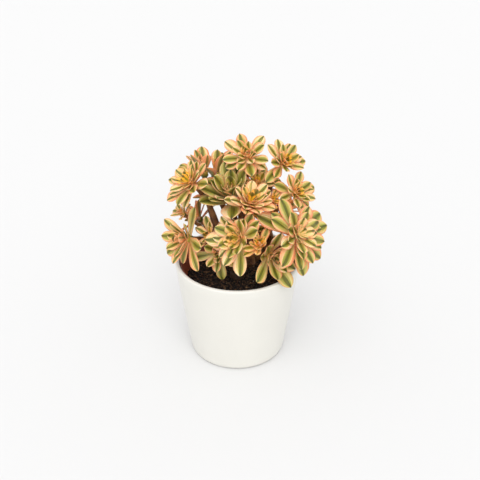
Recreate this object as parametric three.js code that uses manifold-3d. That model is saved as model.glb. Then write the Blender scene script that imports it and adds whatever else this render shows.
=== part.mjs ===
// A variegated aeonium in its pot: a branching succulent with many leaf rosettes, its nursery
// pot of soil, and the tapered ceramic cover pot round them.
// Millimetres, +Z up. The origin is the centre of the cover pot's flat underside, +X is to the
// right and -Y is towards the side that the plant faces.
import * as THREE from 'three';
import { mergeVertices } from 'three/addons/utils/BufferGeometryUtils.js';
import Module from 'manifold-3d';

const wasm = await Module();
wasm.setup();

// Driving dimensions of the cover pot
const COVER_HEIGHT = 108;
const COVER_RIM_RADIUS = 65;
const COVER_WALL = 4.7;
const COVER_FOOT_RADIUS = 46.2;
const COVER_FOOT_ROUND = 4.5;
const COVER_BOW = 0.5;
const COVER_LIP_ROUND = 1.9;
const COVER_FLOOR_TOP = 5;
const COVER_SIDES = 44;

// Driving dimensions of the nursery pot, which hangs clear of the cover pot's wall
const NURSERY_TOP = 104.8;
const NURSERY_RIM_RADIUS = 59.3;
const NURSERY_BAND_HEIGHT = 10;
const NURSERY_FOOT_RADIUS = 42.5;
const NURSERY_WALL = 1.2;
const NURSERY_SIDES = 36;
const DRAIN_HOLES = 5;
const DRAIN_HOLE_RADIUS = 4;
const DRAIN_CIRCLE_RADIUS = 34;
const DRAIN_SIDES = 8;

// Driving dimensions of the soil and the woody stems
const SEAT_GAP = 0.3;
const SOIL_TOP = 84;
const SOIL_SIDES = 28;
const SOIL_LUMP = 1.5;
const SOIL_MOUND = 2.5;
const SOIL_WALL_GAP = 0.6;
const SOIL_RINGS = [0.9, 0.74, 0.56, 0.38, 0.2];
const CROWN_RADIUS = 8.5;
const CROWN_BOTTOM = 70;
const CROWN_TOP = 93;
const CROWN_SIDES = 12;
const STEM_SIDES = 5;
const STEM_STEPS = 4;
const STEM_END_RADIUS = 2.3;
const STEM_FORK_RADIUS = 3.1;
const MAIN_BEND_HEIGHT = 105;
const MAIN_BEND_SHARE = 0.4;
const MAIN_TOP_RADIUS = 3.8;
const MAIN_FOOT_RADIUS = 5.2;

// Each main stem leaves the crown and leans to its own side: [x, y, z] of its upper end
const MAIN_STEMS = [
  [-20, -4, 118],
  [16, -14, 112],
  [2, 12, 128],
  [37, 2, 120],
];

// A branch leaves its main stem between these shares of the main stem's length, and its bends
// lie at this share of its own span
const FIRST_FORK = 0.55;
const LAST_FORK = 1;
const FORK_STEP = 0.618;
const BRANCH_BEND = 0.35;

// Driving dimensions of the rosettes and their leaves
const GOLDEN_ANGLE = THREE.MathUtils.degToRad(137.508);
const FULL_REACH = 32;
const CORE_RADIUS = 4.4;
const CORE_PROFILE = [[0, -8], [2.6, -8], [CORE_RADIUS, -5], [3.4, 1], [0, 3.5]];
const CORE_SIDES = 6;
const ROOT_RADIUS = 2.2;
const ROOT_LOW = -5;
const ROOT_CLIMB = 7;
const YOUNG_LENGTH_LOSS = 0.62;
const LENGTH_FALL = 1.3;
const LIFT_RISE = 0.9;
const LEAST_HALF_WIDTH = 0.21;
const HALF_WIDTH_SPREAD = 0.03;
const LEAST_KEEL = 0.8;
const KEEL_SHARE = 0.058;
const KEEL_THINNING = 0.55;
const OLD_CURL = -14;
const YOUNG_CURL = 20;
const TURN_SPREAD = 0.2;
const LIFT_SPREAD = 0.16;
const LENGTH_SPREAD = 0.1;

// Clearances: a leaf is sampled at stations along it and kept this far from everything else
const LEAF_GAP = 2.3;
const OWN_LEAF_GAP = 0.6;
const STEM_GAP = 1.3;
const SAMPLE_STATIONS = 15;
const FIRST_SAMPLE = 2;
const POINTS_PER_STATION = 6;
const OWN_LEAF_SKIP = 6 * POINTS_PER_STATION;
const OWN_STEM_SKIP = 4 * POINTS_PER_STATION;
const MOUTH_EDGE = 56;
const SOIL_CLEARANCE = 3.5;
const RIM_CLEARANCE = 2.5;
const RIM_LIFT = 1.5;
const LOWEST_HANG = 12;

// Half width along a leaf as a share of its widest: a narrow foot, a broad shoulder, a point.
// Its upper face is a shallow channel whose sides rise by this share of the half width
const WIDTHS = [
  [0, 0.30], [0.15, 0.44], [0.3, 0.62], [0.45, 0.81], [0.58, 0.95], [0.7, 1.0],
  [0.8, 0.94], [0.88, 0.77], [0.94, 0.52], [0.975, 0.27], [1, 0],
];
const CHANNEL_RISE = 0.22;

// One row for each rosette: name, heart, lean [azimuth, tilt] of its axis in degrees, reach of its
// longest leaf, number of leaves, turn of its first leaf, [lowest, highest] leaf angle in degrees
// and the main stem that carries it
const ROSETTES = [
  ['rosette_01', [10, 11, 217], [-95, 43], 27, 18, 144, [9, 80], 2],
  ['rosette_02', [46, 14, 209], [-56, 47], 27, 16, 72, [6, 62], 3],
  ['rosette_03', [57, -2, 184], [-63, 55], 25, 16, 3, [4, 68], 3],
  ['rosette_04', [58, -40, 158], [-52, 53], 39, 22, 113, [-12, 42], 3],
  ['rosette_05', [33, -35, 131], [-64, 76], 38, 13, 155, [26, 73], 1],
  ['rosette_06', [22, -46, 149], [-95, 34], 21, 12, 154, [8, 80], 1],
  ['rosette_07', [3, -41, 155], [-120, 64], 37, 20, 234, [-7, 56], 1],
  ['rosette_08', [12, -18, 181], [-66, 28], 32, 18, 131, [19, 54], 2],
  ['rosette_09', [34, -8, 178], [-52, 46], 16, 10, 195, [28, 70], 3],
  ['rosette_10', [-45, -4, 196], [-138, 42], 30, 18, 99, [7, 48], 0],
  ['rosette_11', [-6, 4, 177], [-106, 25], 47, 13, 155, [35, 66], 2],
  ['rosette_12', [-33, 22, 197], [78, 4], 30, 11, 290, [54, 86], 0],
  ['rosette_13', [-22, 24, 195], [52, 4], 32, 8, 114, [45, 86], 2],
  ['rosette_14', [-51, -21, 143], [-144, 72], 32, 17, 315, [5, 78], 0],
  ['rosette_15', [-54, -6, 164], [-160, 40], 15, 11, 206, [24, 80], 0],
  ['rosette_16', [-19, -24, 129], [-105, 53], 27, 13, 281, [-5, 86], 0],
  ['rosette_17', [28, -16, 159], [-78, 43], 15, 10, 136, [28, 60], 1],
  ['rosette_18', [-27, -17, 144], [-115, 50], 23, 12, 60, [-5, 75], 0],
  ['rosette_19', [9, -25, 154], [-95, 40], 22, 12, 100, [-15, 62], 1],
  ['rosette_20', [20, 6, 190], [-90, 40], 24, 13, 20, [-10, 75], 2],
  ['rosette_21', [-18, 44, 160], [110, 45], 30, 12, 0, [0, 75], 2],
  ['rosette_22', [24, 46, 172], [75, 42], 30, 12, 90, [0, 75], 2],
  ['rosette_23', [50, 30, 148], [35, 55], 28, 11, 45, [0, 75], 3],
  ['rosette_24', [-42, 30, 140], [145, 58], 27, 11, 30, [0, 75], 0],
  ['rosette_25', [14, 54, 136], [85, 66], 26, 11, 200, [0, 75], 2],
  ['rosette_26', [6, 40, 196], [95, 34], 25, 11, 140, [0, 75], 2],
];

// What a leaf may do to stay clear of the others: turn and lift in degrees, share of its length
const LEAF_TRIES = [
  [0, 0, 1], [0, 7, 1], [7, 0, 1], [-7, 0, 1], [0, -7, 1], [8, 8, 1], [-8, 8, 1], [0, 14, 1],
  [13, 3, 1], [-13, 3, 1], [0, 22, 1], [0, 0, 0.88], [9, 8, 0.88], [-9, 8, 0.88],
  [0, 14, 0.88], [0, -10, 0.88], [0, 28, 0.9], [0, 0, 0.75], [10, 10, 0.75],
  [-10, 10, 0.75], [0, 24, 0.75], [0, 36, 0.75], [15, 20, 0.7], [-15, 20, 0.7],
  [0, 0, 0.6], [0, 20, 0.6],
];

const finish = (color, roughness) => new THREE.MeshStandardMaterial({ color, roughness, metalness: 0 });
const glazedWhite = finish(0xf4f1ea, 0.35);
const moulded = finish(0x5a2416, 0.5);
const peat = finish(0x2a1d16, 1);
const bark = finish(0x7a4a35, 0.85);
const leafGreen = finish(0xb9a873, 0.45);
const leafYoung = finish(0xe0b060, 0.45);

// Seeded draw between 0 and 1
function makeDraw(seed) {
  let state = seed >>> 0;
  return () => {
    state = (Math.imul(state, 1664525) + 1013904223) >>> 0;
    return state / 4294967296;
  };
}

// Solids
function toSolid(geometry) {
  const bare = geometry.clone();
  bare.deleteAttribute('normal');
  bare.deleteAttribute('uv');
  const merged = mergeVertices(bare, 1e-4);
  return new wasm.Manifold(new wasm.Mesh({
    numProp: 3,
    vertProperties: new Float32Array(merged.attributes.position.array),
    triVerts: new Uint32Array(merged.index.array),
  }));
}

function toGeometry(solid) {
  const mesh = solid.getMesh();
  const geometry = new THREE.BufferGeometry();
  const points = [];
  for (let i = 0; i < mesh.vertProperties.length; i += mesh.numProp) {
    points.push(...mesh.vertProperties.slice(i, i + 3));
  }
  geometry.setAttribute('position', new THREE.Float32BufferAttribute(points, 3));
  geometry.setIndex(Array.from(mesh.triVerts));
  geometry.computeVertexNormals();
  return geometry;
}

// A skin through equal rings of points, each end closed by a flat face or by a point
function loft(rings, { head = null, tail = null } = {}) {
  const sides = rings[0].length;
  const points = rings.flat();
  const faces = [];
  for (let ring = 0; ring < rings.length - 1; ring += 1) {
    for (let side = 0; side < sides; side += 1) {
      const a = ring * sides + side;
      const b = ring * sides + ((side + 1) % sides);
      faces.push(a, b, b + sides, a, b + sides, a + sides);
    }
  }
  const close = (first, end, inward) => {
    if (end) {
      points.push(end);
      for (let side = 0; side < sides; side += 1) {
        const face = [first + side, first + ((side + 1) % sides), points.length - 1];
        faces.push(...(inward ? face.reverse() : face));
      }
    } else {
      for (let side = 1; side < sides - 1; side += 1) {
        const face = [first, first + side, first + side + 1];
        faces.push(...(inward ? face.reverse() : face));
      }
    }
  };
  close(0, head, true);
  close((rings.length - 1) * sides, tail, false);
  const geometry = new THREE.BufferGeometry();
  geometry.setFromPoints(points);
  geometry.setIndex(faces);
  return geometry;
}

// A lathe profile of [radius, height] pairs, turned round +Z
function turned(profile, sides) {
  const points = profile.map(([radius, height]) => new THREE.Vector2(radius, height));
  return new THREE.LatheGeometry(points, sides).rotateX(Math.PI / 2);
}

// Points [radius, height] on an arc from one angle to another, in degrees
function arc(radius, height, round, from, to, steps) {
  return Array.from({ length: steps + 1 }, (_, step) => {
    const angle = THREE.MathUtils.degToRad(from + ((to - from) * step) / steps);
    return [radius + round * Math.cos(angle), height + round * Math.sin(angle)];
  });
}

// Cover pot: a slightly bowed taper of even wall, a rounded foot and a soft lip
function coverWallOutside(height) {
  const low = COVER_FOOT_RADIUS + COVER_FOOT_ROUND;
  const rise = (height - COVER_FOOT_ROUND) / (COVER_HEIGHT - COVER_FOOT_ROUND);
  return low + (COVER_RIM_RADIUS - low) * rise + COVER_BOW * 4 * rise * (1 - rise);
}

function coverPot() {
  const shoulder = COVER_HEIGHT - COVER_LIP_ROUND;
  const lip = coverWallOutside(shoulder) - COVER_LIP_ROUND;
  const mouth = COVER_RIM_RADIUS - COVER_WALL + COVER_LIP_ROUND;
  const outside = [35, 70, 98].map((height) => [coverWallOutside(height), height]);
  const inside = [94, 50, 12].map((height) => [coverWallOutside(height) - COVER_WALL, height]);
  const corner = coverWallOutside(COVER_FLOOR_TOP) - COVER_WALL - 2;
  const profile = [
    [0, 0],
    ...arc(COVER_FOOT_RADIUS, COVER_FOOT_ROUND, COVER_FOOT_ROUND, -90, 0, 3),
    ...outside,
    ...arc(lip, shoulder, COVER_LIP_ROUND, 0, 90, 2),
    ...arc(mouth, shoulder, COVER_LIP_ROUND, 90, 180, 2),
    ...inside, [corner, COVER_FLOOR_TOP], [0, COVER_FLOOR_TOP],
  ];
  return turned(profile, COVER_SIDES);
}

// Nursery pot: a thin moulded wall, a stiff rim band and drain holes in its floor
const NURSERY_BOTTOM = COVER_FLOOR_TOP + SEAT_GAP;
const NURSERY_FLOOR = NURSERY_BOTTOM + NURSERY_WALL;
const NURSERY_BAND_LOW = NURSERY_TOP - NURSERY_BAND_HEIGHT;
const NURSERY_SHOULDER = NURSERY_RIM_RADIUS - 2.4;

function nurseryWallInside(height) {
  const rise = (height - NURSERY_FLOOR) / (NURSERY_BAND_LOW - NURSERY_FLOOR);
  const low = NURSERY_FOOT_RADIUS - NURSERY_WALL;
  const high = NURSERY_SHOULDER - NURSERY_WALL;
  return low + (high - low) * rise;
}

function nurseryPot() {
  const inside = NURSERY_RIM_RADIUS - NURSERY_WALL;
  const profile = [
    [0, NURSERY_BOTTOM], [NURSERY_FOOT_RADIUS - 1, NURSERY_BOTTOM],
    [NURSERY_FOOT_RADIUS, NURSERY_BOTTOM + 2], [NURSERY_SHOULDER, NURSERY_BAND_LOW],
    [NURSERY_RIM_RADIUS - 0.9, NURSERY_BAND_LOW + 0.3],
    [NURSERY_RIM_RADIUS, NURSERY_TOP - 0.4], [NURSERY_RIM_RADIUS - 0.4, NURSERY_TOP],
    [inside, NURSERY_TOP], [inside - 0.9, NURSERY_BAND_LOW + 1.5],
    [NURSERY_SHOULDER - NURSERY_WALL, NURSERY_BAND_LOW],
    [NURSERY_FOOT_RADIUS - NURSERY_WALL, NURSERY_FLOOR], [0, NURSERY_FLOOR],
  ];
  let solid = toSolid(turned(profile, NURSERY_SIDES));
  for (let i = 0; i < DRAIN_HOLES; i += 1) {
    const angle = (2 * Math.PI * i) / DRAIN_HOLES;
    const depth = 5 * NURSERY_WALL;
    const hole = new THREE.CylinderGeometry(DRAIN_HOLE_RADIUS, DRAIN_HOLE_RADIUS, depth, DRAIN_SIDES);
    hole.rotateX(Math.PI / 2);
    const x = DRAIN_CIRCLE_RADIUS * Math.cos(angle);
    const y = DRAIN_CIRCLE_RADIUS * Math.sin(angle);
    hole.translate(x, y, NURSERY_BOTTOM + NURSERY_WALL / 2);
    solid = solid.subtract(toSolid(hole));
  }
  return toGeometry(solid);
}

// Soil: a lumpy top, mounded a little round the plant, with a plain hole for the stems
function soil() {
  const draw = makeDraw(41);
  const topRadius = nurseryWallInside(SOIL_TOP) - SOIL_WALL_GAP;
  const bottom = NURSERY_FLOOR + SEAT_GAP;
  const bottomRadius = nurseryWallInside(bottom) - SOIL_WALL_GAP;
  const ringOf = (radius, heightOf) => Array.from({ length: SOIL_SIDES }, (_, side) => {
    const angle = (2 * Math.PI * side) / SOIL_SIDES;
    return new THREE.Vector3(radius * Math.cos(angle), radius * Math.sin(angle), heightOf());
  });
  const rings = [ringOf(bottomRadius, () => bottom), ringOf(topRadius, () => SOIL_TOP - 1)];
  for (const share of SOIL_RINGS) {
    const level = SOIL_TOP + SOIL_MOUND * (1 - share);
    rings.push(ringOf(topRadius * share, () => level + SOIL_LUMP * (2 * draw() - 1)));
  }
  const body = toSolid(loft(rings, { tail: new THREE.Vector3(0, 0, SOIL_TOP + SOIL_MOUND) }));
  const holeRadius = CROWN_RADIUS + SEAT_GAP;
  const hole = turned([
    [0, CROWN_BOTTOM - SEAT_GAP], [holeRadius, CROWN_BOTTOM - SEAT_GAP],
    [holeRadius, CROWN_TOP], [0, CROWN_TOP],
  ], CROWN_SIDES);
  return toGeometry(body.subtract(toSolid(hole)));
}

// Rosette frames
function axisOf([azimuth, tilt]) {
  const a = THREE.MathUtils.degToRad(azimuth);
  const t = THREE.MathUtils.degToRad(tilt);
  return new THREE.Vector3(Math.sin(t) * Math.cos(a), Math.sin(t) * Math.sin(a), Math.cos(t));
}

function along(start, direction, distance) {
  return start.clone().addScaledVector(direction, distance);
}

// Woody stems: a crown in the soil, the main stems, and one branch to each rosette
function stemPaths() {
  const foot = new THREE.Vector3(0, 0, CROWN_TOP - 2);
  const mains = MAIN_STEMS.map((end) => {
    const top = new THREE.Vector3(...end);
    const bend = new THREE.Vector3(top.x * MAIN_BEND_SHARE, top.y * MAIN_BEND_SHARE, MAIN_BEND_HEIGHT);
    return new THREE.QuadraticBezierCurve3(foot, bend, top);
  });
  const paths = mains.map((curve, index) => ({
    curve, low: MAIN_FOOT_RADIUS, high: MAIN_TOP_RADIUS, rosette: -1 - index,
  }));
  ROSETTES.forEach(([, heart, lean, reach, , , , main], index) => {
    const axis = axisOf(lean);
    const size = reach / FULL_REACH;
    const end = along(new THREE.Vector3(...heart), axis, CORE_PROFILE[0][1] * size - SEAT_GAP);
    const fork = FIRST_FORK + (LAST_FORK - FIRST_FORK) * ((index * FORK_STEP) % 1);
    const start = mains[main].getPoint(fork);
    const bend = start.distanceTo(end) * BRANCH_BEND;
    const leave = along(start, new THREE.Vector3(0, 0, 1), bend);
    const arrive = along(end, axis, -bend);
    paths.push({
      curve: new THREE.CubicBezierCurve3(start, leave, arrive, end),
      low: STEM_FORK_RADIUS,
      high: Math.min(STEM_END_RADIUS, STEM_FORK_RADIUS * size),
      rosette: index,
    });
  });
  return paths;
}

function tube({ curve, low, high }) {
  const rings = [];
  for (let step = 0; step <= STEM_STEPS; step += 1) {
    const t = step / STEM_STEPS;
    const centre = curve.getPoint(t);
    const forward = curve.getTangent(t);
    const right = new THREE.Vector3(0.3, 1, 0.1).cross(forward).normalize();
    const up = forward.clone().cross(right);
    const radius = low + (high - low) * t;
    rings.push(Array.from({ length: STEM_SIDES }, (_, side) => {
      const angle = (2 * Math.PI * side) / STEM_SIDES;
      return along(along(centre, right, radius * Math.cos(angle)), up, radius * Math.sin(angle));
    }));
  }
  return loft(rings);
}

function woodyStems(paths) {
  const crown = turned([
    [0, CROWN_BOTTOM], [CROWN_RADIUS - 1.5, CROWN_BOTTOM], [CROWN_RADIUS, CROWN_BOTTOM + 3],
    [CROWN_RADIUS, SOIL_TOP - 2], [CROWN_RADIUS - 1.2, CROWN_TOP - 3], [0, CROWN_TOP],
  ], CROWN_SIDES);
  const solid = paths.reduce((joined, path) => joined.add(toSolid(tube(path))), toSolid(crown));
  return toGeometry(solid);
}

// Leaves: each follows a circular arc from its foot, in the plane of its own radius
function makeLeaf(rosette, index, draws, [turnBy, liftBy, share]) {
  const [, heart, lean, reach, count, turn, [low, high]] = rosette;
  const radians = THREE.MathUtils.degToRad;
  const axis = axisOf(lean);
  const across = new THREE.Vector3(0, 0, 1).cross(axis).normalize();
  const upward = axis.clone().cross(across);
  const age = index / (count - 1);
  const size = reach / FULL_REACH;
  const angle = radians(turn + turnBy) + index * GOLDEN_ANGLE + (draws[0] - 0.5) * TURN_SPREAD;
  const shrink = 1 - YOUNG_LENGTH_LOSS * age ** LENGTH_FALL;
  const length = reach * shrink * (1 + LENGTH_SPREAD * (draws[2] - 0.5)) * share;
  const radial = across.clone().multiplyScalar(Math.cos(angle)).addScaledVector(upward, Math.sin(angle));
  const foot = along(new THREE.Vector3(...heart), radial, ROOT_RADIUS * (1 - age) * size);
  const rise = radians(low + (high - low) * age ** LIFT_RISE + liftBy);
  return {
    axis, radial, length, age,
    root: along(foot, axis, (ROOT_LOW + ROOT_CLIMB * age) * size),
    side: axis.clone().cross(radial),
    rise: rise + (draws[1] - 0.5) * LIFT_SPREAD,
    curl: radians(OLD_CURL + (YOUNG_CURL - OLD_CURL) * age),
    half: length * (LEAST_HALF_WIDTH + HALF_WIDTH_SPREAD * draws[3]),
    keel: Math.max(LEAST_KEEL, KEEL_SHARE * length),
  };
}

function midrib(leaf, t) {
  const curl = Math.abs(leaf.curl) < 1e-3 ? 1e-3 : leaf.curl;
  const out = (leaf.length * (Math.sin(leaf.rise + curl * t) - Math.sin(leaf.rise))) / curl;
  const up = (-leaf.length * (Math.cos(leaf.rise + curl * t) - Math.cos(leaf.rise))) / curl;
  return along(along(leaf.root, leaf.radial, out), leaf.axis, up);
}

function faceNormal(leaf, t) {
  const angle = leaf.rise + leaf.curl * t;
  return leaf.radial.clone().multiplyScalar(-Math.sin(angle)).addScaledVector(leaf.axis, Math.cos(angle));
}

function widthAt(t) {
  const next = WIDTHS.findIndex(([station]) => t <= station);
  if (next <= 0) return WIDTHS[0][1];
  const [t0, w0] = WIDTHS[next - 1];
  const [t1, w1] = WIDTHS[next];
  return w0 + ((w1 - w0) * (t - t0)) / (t1 - t0);
}

// A point of the leaf's upper face, share -1 to 1 across it
function facePoint(leaf, t, share) {
  const reach = leaf.half * widthAt(t) * share;
  const point = along(midrib(leaf, t), leaf.side, reach);
  return along(point, faceNormal(leaf, t), Math.abs(reach) * CHANNEL_RISE);
}

function keelPoint(leaf, t) {
  return along(midrib(leaf, t), faceNormal(leaf, t), -leaf.keel * (1 - KEEL_THINNING * t));
}

function leafSamples(leaf) {
  const points = [];
  for (let k = FIRST_SAMPLE; k <= SAMPLE_STATIONS; k += 1) {
    const t = k / SAMPLE_STATIONS;
    for (const share of [-1, -0.5, 0, 0.5, 1]) points.push(facePoint(leaf, t, share));
    points.push(keelPoint(leaf, t));
  }
  return points;
}

function clearOfPot(points) {
  return points.every(({ x, y, z }) => {
    const radius = Math.hypot(x, y);
    if (radius < MOUTH_EDGE) return z >= SOIL_TOP + SOIL_CLEARANCE;
    if (radius < COVER_RIM_RADIUS + RIM_CLEARANCE) return z >= COVER_HEIGHT + RIM_LIFT;
    return z >= COVER_HEIGHT - LOWEST_HANG;
  });
}

function clearOfPoints(points, others, gap) {
  const limit = gap * gap;
  return points.every((point) => others.every((other) => point.distanceToSquared(other) >= limit));
}

function clearOfStem(points, { p0, p1, radius }) {
  const line = new THREE.Line3(p0, p1);
  const nearest = new THREE.Vector3();
  return points.every((point) => {
    line.closestPointToPoint(point, true, nearest);
    return nearest.distanceTo(point) >= radius + STEM_GAP;
  });
}

function stemSegments(paths) {
  return paths.flatMap(({ curve, low, high, rosette }) => (
    Array.from({ length: STEM_STEPS }, (_, step) => ({
      rosette,
      p0: curve.getPoint(step / STEM_STEPS),
      p1: curve.getPoint((step + 1) / STEM_STEPS),
      radius: low + ((high - low) * (step + 0.5)) / STEM_STEPS,
    }))
  ));
}

// The core of a rosette, as a straight piece that the leaves of other rosettes keep clear of
function coreSegments() {
  const low = CORE_PROFILE[0][1];
  const high = CORE_PROFILE[CORE_PROFILE.length - 1][1];
  return ROSETTES.map(([, heart, lean, reach], rosette) => {
    const centre = new THREE.Vector3(...heart);
    const size = reach / FULL_REACH;
    return {
      rosette,
      p0: along(centre, axisOf(lean), low * size),
      p1: along(centre, axisOf(lean), high * size),
      radius: CORE_RADIUS * size,
    };
  });
}

// The young leaves at every heart are placed first, then the older ones round by round, each
// with the first move that keeps it clear of the pot, the stems and the leaves already there
function placeLeaves(segments) {
  const draws = ROSETTES.map((rosette, owner) => {
    const draw = makeDraw(1000 + 17 * owner);
    return Array.from({ length: rosette[4] }, () => [draw(), draw(), draw(), draw()]);
  });
  const cores = coreSegments();
  const placed = [];
  const isClear = (owner, points, ball) => {
    const outer = points.slice(OWN_LEAF_SKIP);
    const farFromStem = points.slice(OWN_STEM_SKIP);
    return clearOfPot(points)
      && cores.every((core) => core.rosette === owner || clearOfStem(points, core))
      && segments.every((segment) => (
        clearOfStem(segment.rosette === owner ? farFromStem : points, segment)))
      && placed.every((other) => {
        const apart = ball.center.distanceTo(other.ball.center);
        if (apart > ball.radius + other.ball.radius + LEAF_GAP) return true;
        if (other.owner === owner) return clearOfPoints(outer, other.outer, OWN_LEAF_GAP);
        return clearOfPoints(points, other.points, LEAF_GAP);
      });
  };
  const placeOne = (owner, index) => {
    for (const move of LEAF_TRIES) {
      const leaf = makeLeaf(ROSETTES[owner], index, draws[owner][index], move);
      const points = leafSamples(leaf);
      const ball = new THREE.Sphere().setFromPoints(points);
      if (isClear(owner, points, ball)) {
        placed.push({ owner, leaf, points, outer: points.slice(OWN_LEAF_SKIP), ball });
        return;
      }
    }
  };
  const rounds = Math.max(...ROSETTES.map((rosette) => rosette[4]));
  for (let round = 0; round < rounds; round += 1) {
    ROSETTES.forEach((rosette, owner) => {
      const index = rosette[4] - 1 - round;
      if (index >= 0) placeOne(owner, index);
    });
  }
  return placed;
}

// A leaf's solid: a root sunk in the core, the channelled upper face, the keel and a pointed tip
const OLD_STATIONS = [0.42, 0.72, 0.9];
const MIDDLE_STATIONS = [0.48, 0.82];
const YOUNG_STATIONS = [0.62];
const OLD_AGE = 0.4;
const MIDDLE_AGE = 0.68;

function leafSolid(leaf) {
  let stations = YOUNG_STATIONS;
  if (leaf.age < MIDDLE_AGE) stations = MIDDLE_STATIONS;
  if (leaf.age < OLD_AGE) stations = OLD_STATIONS;
  const rings = stations.map((t) => [
    keelPoint(leaf, t), facePoint(leaf, t, 1), facePoint(leaf, t, 0), facePoint(leaf, t, -1),
  ]);
  const head = along(leaf.root, leaf.radial, -ROOT_RADIUS * (1 - leaf.age));
  return toSolid(loft(rings, { head, tail: midrib(leaf, 1) }));
}

function rosetteGeometry(owner, placed) {
  const [, heart, lean, reach] = ROSETTES[owner];
  const size = reach / FULL_REACH;
  const up = new THREE.Vector3(0, 0, 1);
  const core = turned(CORE_PROFILE, CORE_SIDES).scale(size, size, size);
  core.applyQuaternion(new THREE.Quaternion().setFromUnitVectors(up, axisOf(lean)));
  core.translate(...heart);
  const own = placed.filter((entry) => entry.owner === owner);
  return toGeometry(own.reduce((joined, { leaf }) => joined.add(leafSolid(leaf)), toSolid(core)));
}

// Assembly
const group = new THREE.Group();

function place(name, geometry, material) {
  const mesh = new THREE.Mesh(geometry, material);
  mesh.name = name;
  group.add(mesh);
}

const paths = stemPaths();
const placed = placeLeaves(stemSegments(paths));
place('cover_pot', coverPot(), glazedWhite);
place('nursery_pot', nurseryPot(), moulded);
place('soil', soil(), peat);
place('woody_stems', woodyStems(paths), bark);
ROSETTES.forEach(([name, , , reach], owner) => {
  place(name, rosetteGeometry(owner, placed), reach < 18 ? leafYoung : leafGreen);
});

export default group;
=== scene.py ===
# %% [markdown]
# A potted aeonium: a branching succulent whose leaf rosettes are striped green, cream and pink,
# in a brown nursery pot of peat that stands inside a plain white glazed cover pot. The packed
# model gives every piece its place. This script gives each piece its fine shape and its finish,
# in metres and in the same frame, and then sets the camera, the floor and the light.

# %% The fixed frame
import math

import bmesh
import bpy
import numpy as np
from mathutils import Matrix, Vector


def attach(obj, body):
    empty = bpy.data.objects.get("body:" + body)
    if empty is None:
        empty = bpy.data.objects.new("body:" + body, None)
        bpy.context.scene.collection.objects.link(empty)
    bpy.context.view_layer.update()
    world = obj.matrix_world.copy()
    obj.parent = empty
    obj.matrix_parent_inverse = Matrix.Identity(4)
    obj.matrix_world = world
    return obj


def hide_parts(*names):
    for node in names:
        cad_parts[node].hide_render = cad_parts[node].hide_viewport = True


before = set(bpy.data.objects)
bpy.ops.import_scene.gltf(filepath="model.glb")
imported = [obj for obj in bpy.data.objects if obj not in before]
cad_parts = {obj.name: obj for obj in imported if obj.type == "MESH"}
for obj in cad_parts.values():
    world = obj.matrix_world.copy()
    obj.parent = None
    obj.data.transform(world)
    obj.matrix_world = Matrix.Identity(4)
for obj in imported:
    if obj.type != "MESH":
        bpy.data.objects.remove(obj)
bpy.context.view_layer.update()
MM = 0.001
print("nodes in the frame:", len(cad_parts))

# %% [markdown]
# The camera looks about 30 degrees down on the plant from its front. Its lens and its distance
# were found from the two ellipses that a round pot shows, the rim's and the foot's: their widths
# give the distance, and their flatness gives the tilt. The other way is to move a camera by eye,
# but then the pot's taper and its height never quite agree.

# %% Camera
LENS_MM = 55
SENSOR_MM = 36
TILT_DOWN = math.radians(29.94)
CAMERA_PLACE = (2.84 * MM, -653.4 * MM, 505.5 * MM)


def in_scene(name, data):
    """A new object with this data, linked to the scene."""
    thing = bpy.data.objects.new(name, data)
    bpy.context.scene.collection.objects.link(thing)
    return thing


def add_camera():
    data = bpy.data.cameras.new("camera")
    data.lens = LENS_MM
    data.sensor_width = SENSOR_MM
    camera = in_scene("camera", data)
    camera.location = CAMERA_PLACE
    camera.rotation_euler = (math.pi / 2 - TILT_DOWN, 0, 0)
    bpy.context.scene.camera = camera
    print("camera height over the floor in mm:", round(camera.location.z / MM))


add_camera()

# %% [markdown]
# Every material here is a small graph of nodes. One function adds a node, sets its settings and
# fills its inputs, either with a value or with a link from another node, so that each graph reads
# from top to bottom as a recipe. Colours are written as the sRGB hex values that a paint program
# shows, and one function turns them to the linear values that light needs.

# %% Colours and nodes


def linear(hex_colour):
    """A hex colour such as 0xF4F1EA as linear red, green, blue and alpha."""
    channels = [((hex_colour >> shift) & 255) / 255 for shift in (16, 8, 0)]
    return [c / 12.92 if c <= 0.04045 else ((c + 0.055) / 1.055) ** 2.4 for c in channels] + [1]


def add(tree, kind, inputs=(), output=None, stops=(), **settings):
    """Add a node, fill its inputs with values or links, and give the output that is asked for.

    kind is a type of node, or a pair of a type and its usual settings. stops are the (place,
    colour) pairs of a colour ramp."""
    kind, usual = (kind, {}) if isinstance(kind, str) else kind
    node = tree.nodes.new(kind)
    for name, value in {**usual, **settings}.items():
        setattr(node, name, value)
    for number, (place, colour) in enumerate(stops):
        ramp = node.color_ramp.elements
        stop = ramp[number] if number < 2 else ramp.new(place)
        stop.position = place
        stop.color = linear(colour)
    pairs = inputs.items() if isinstance(inputs, dict) else enumerate(inputs)
    for key, value in pairs:
        open_sockets = {s.name: s for s in reversed(node.inputs) if s.enabled}
        socket = open_sockets[key] if isinstance(key, str) else node.inputs[key]
        if isinstance(value, bpy.types.NodeSocket):
            tree.links.new(value, socket)
        else:
            socket.default_value = value
    made = [s for s in node.outputs if s.enabled and output in (None, s.name)]
    return made[0] if made else node


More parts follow.
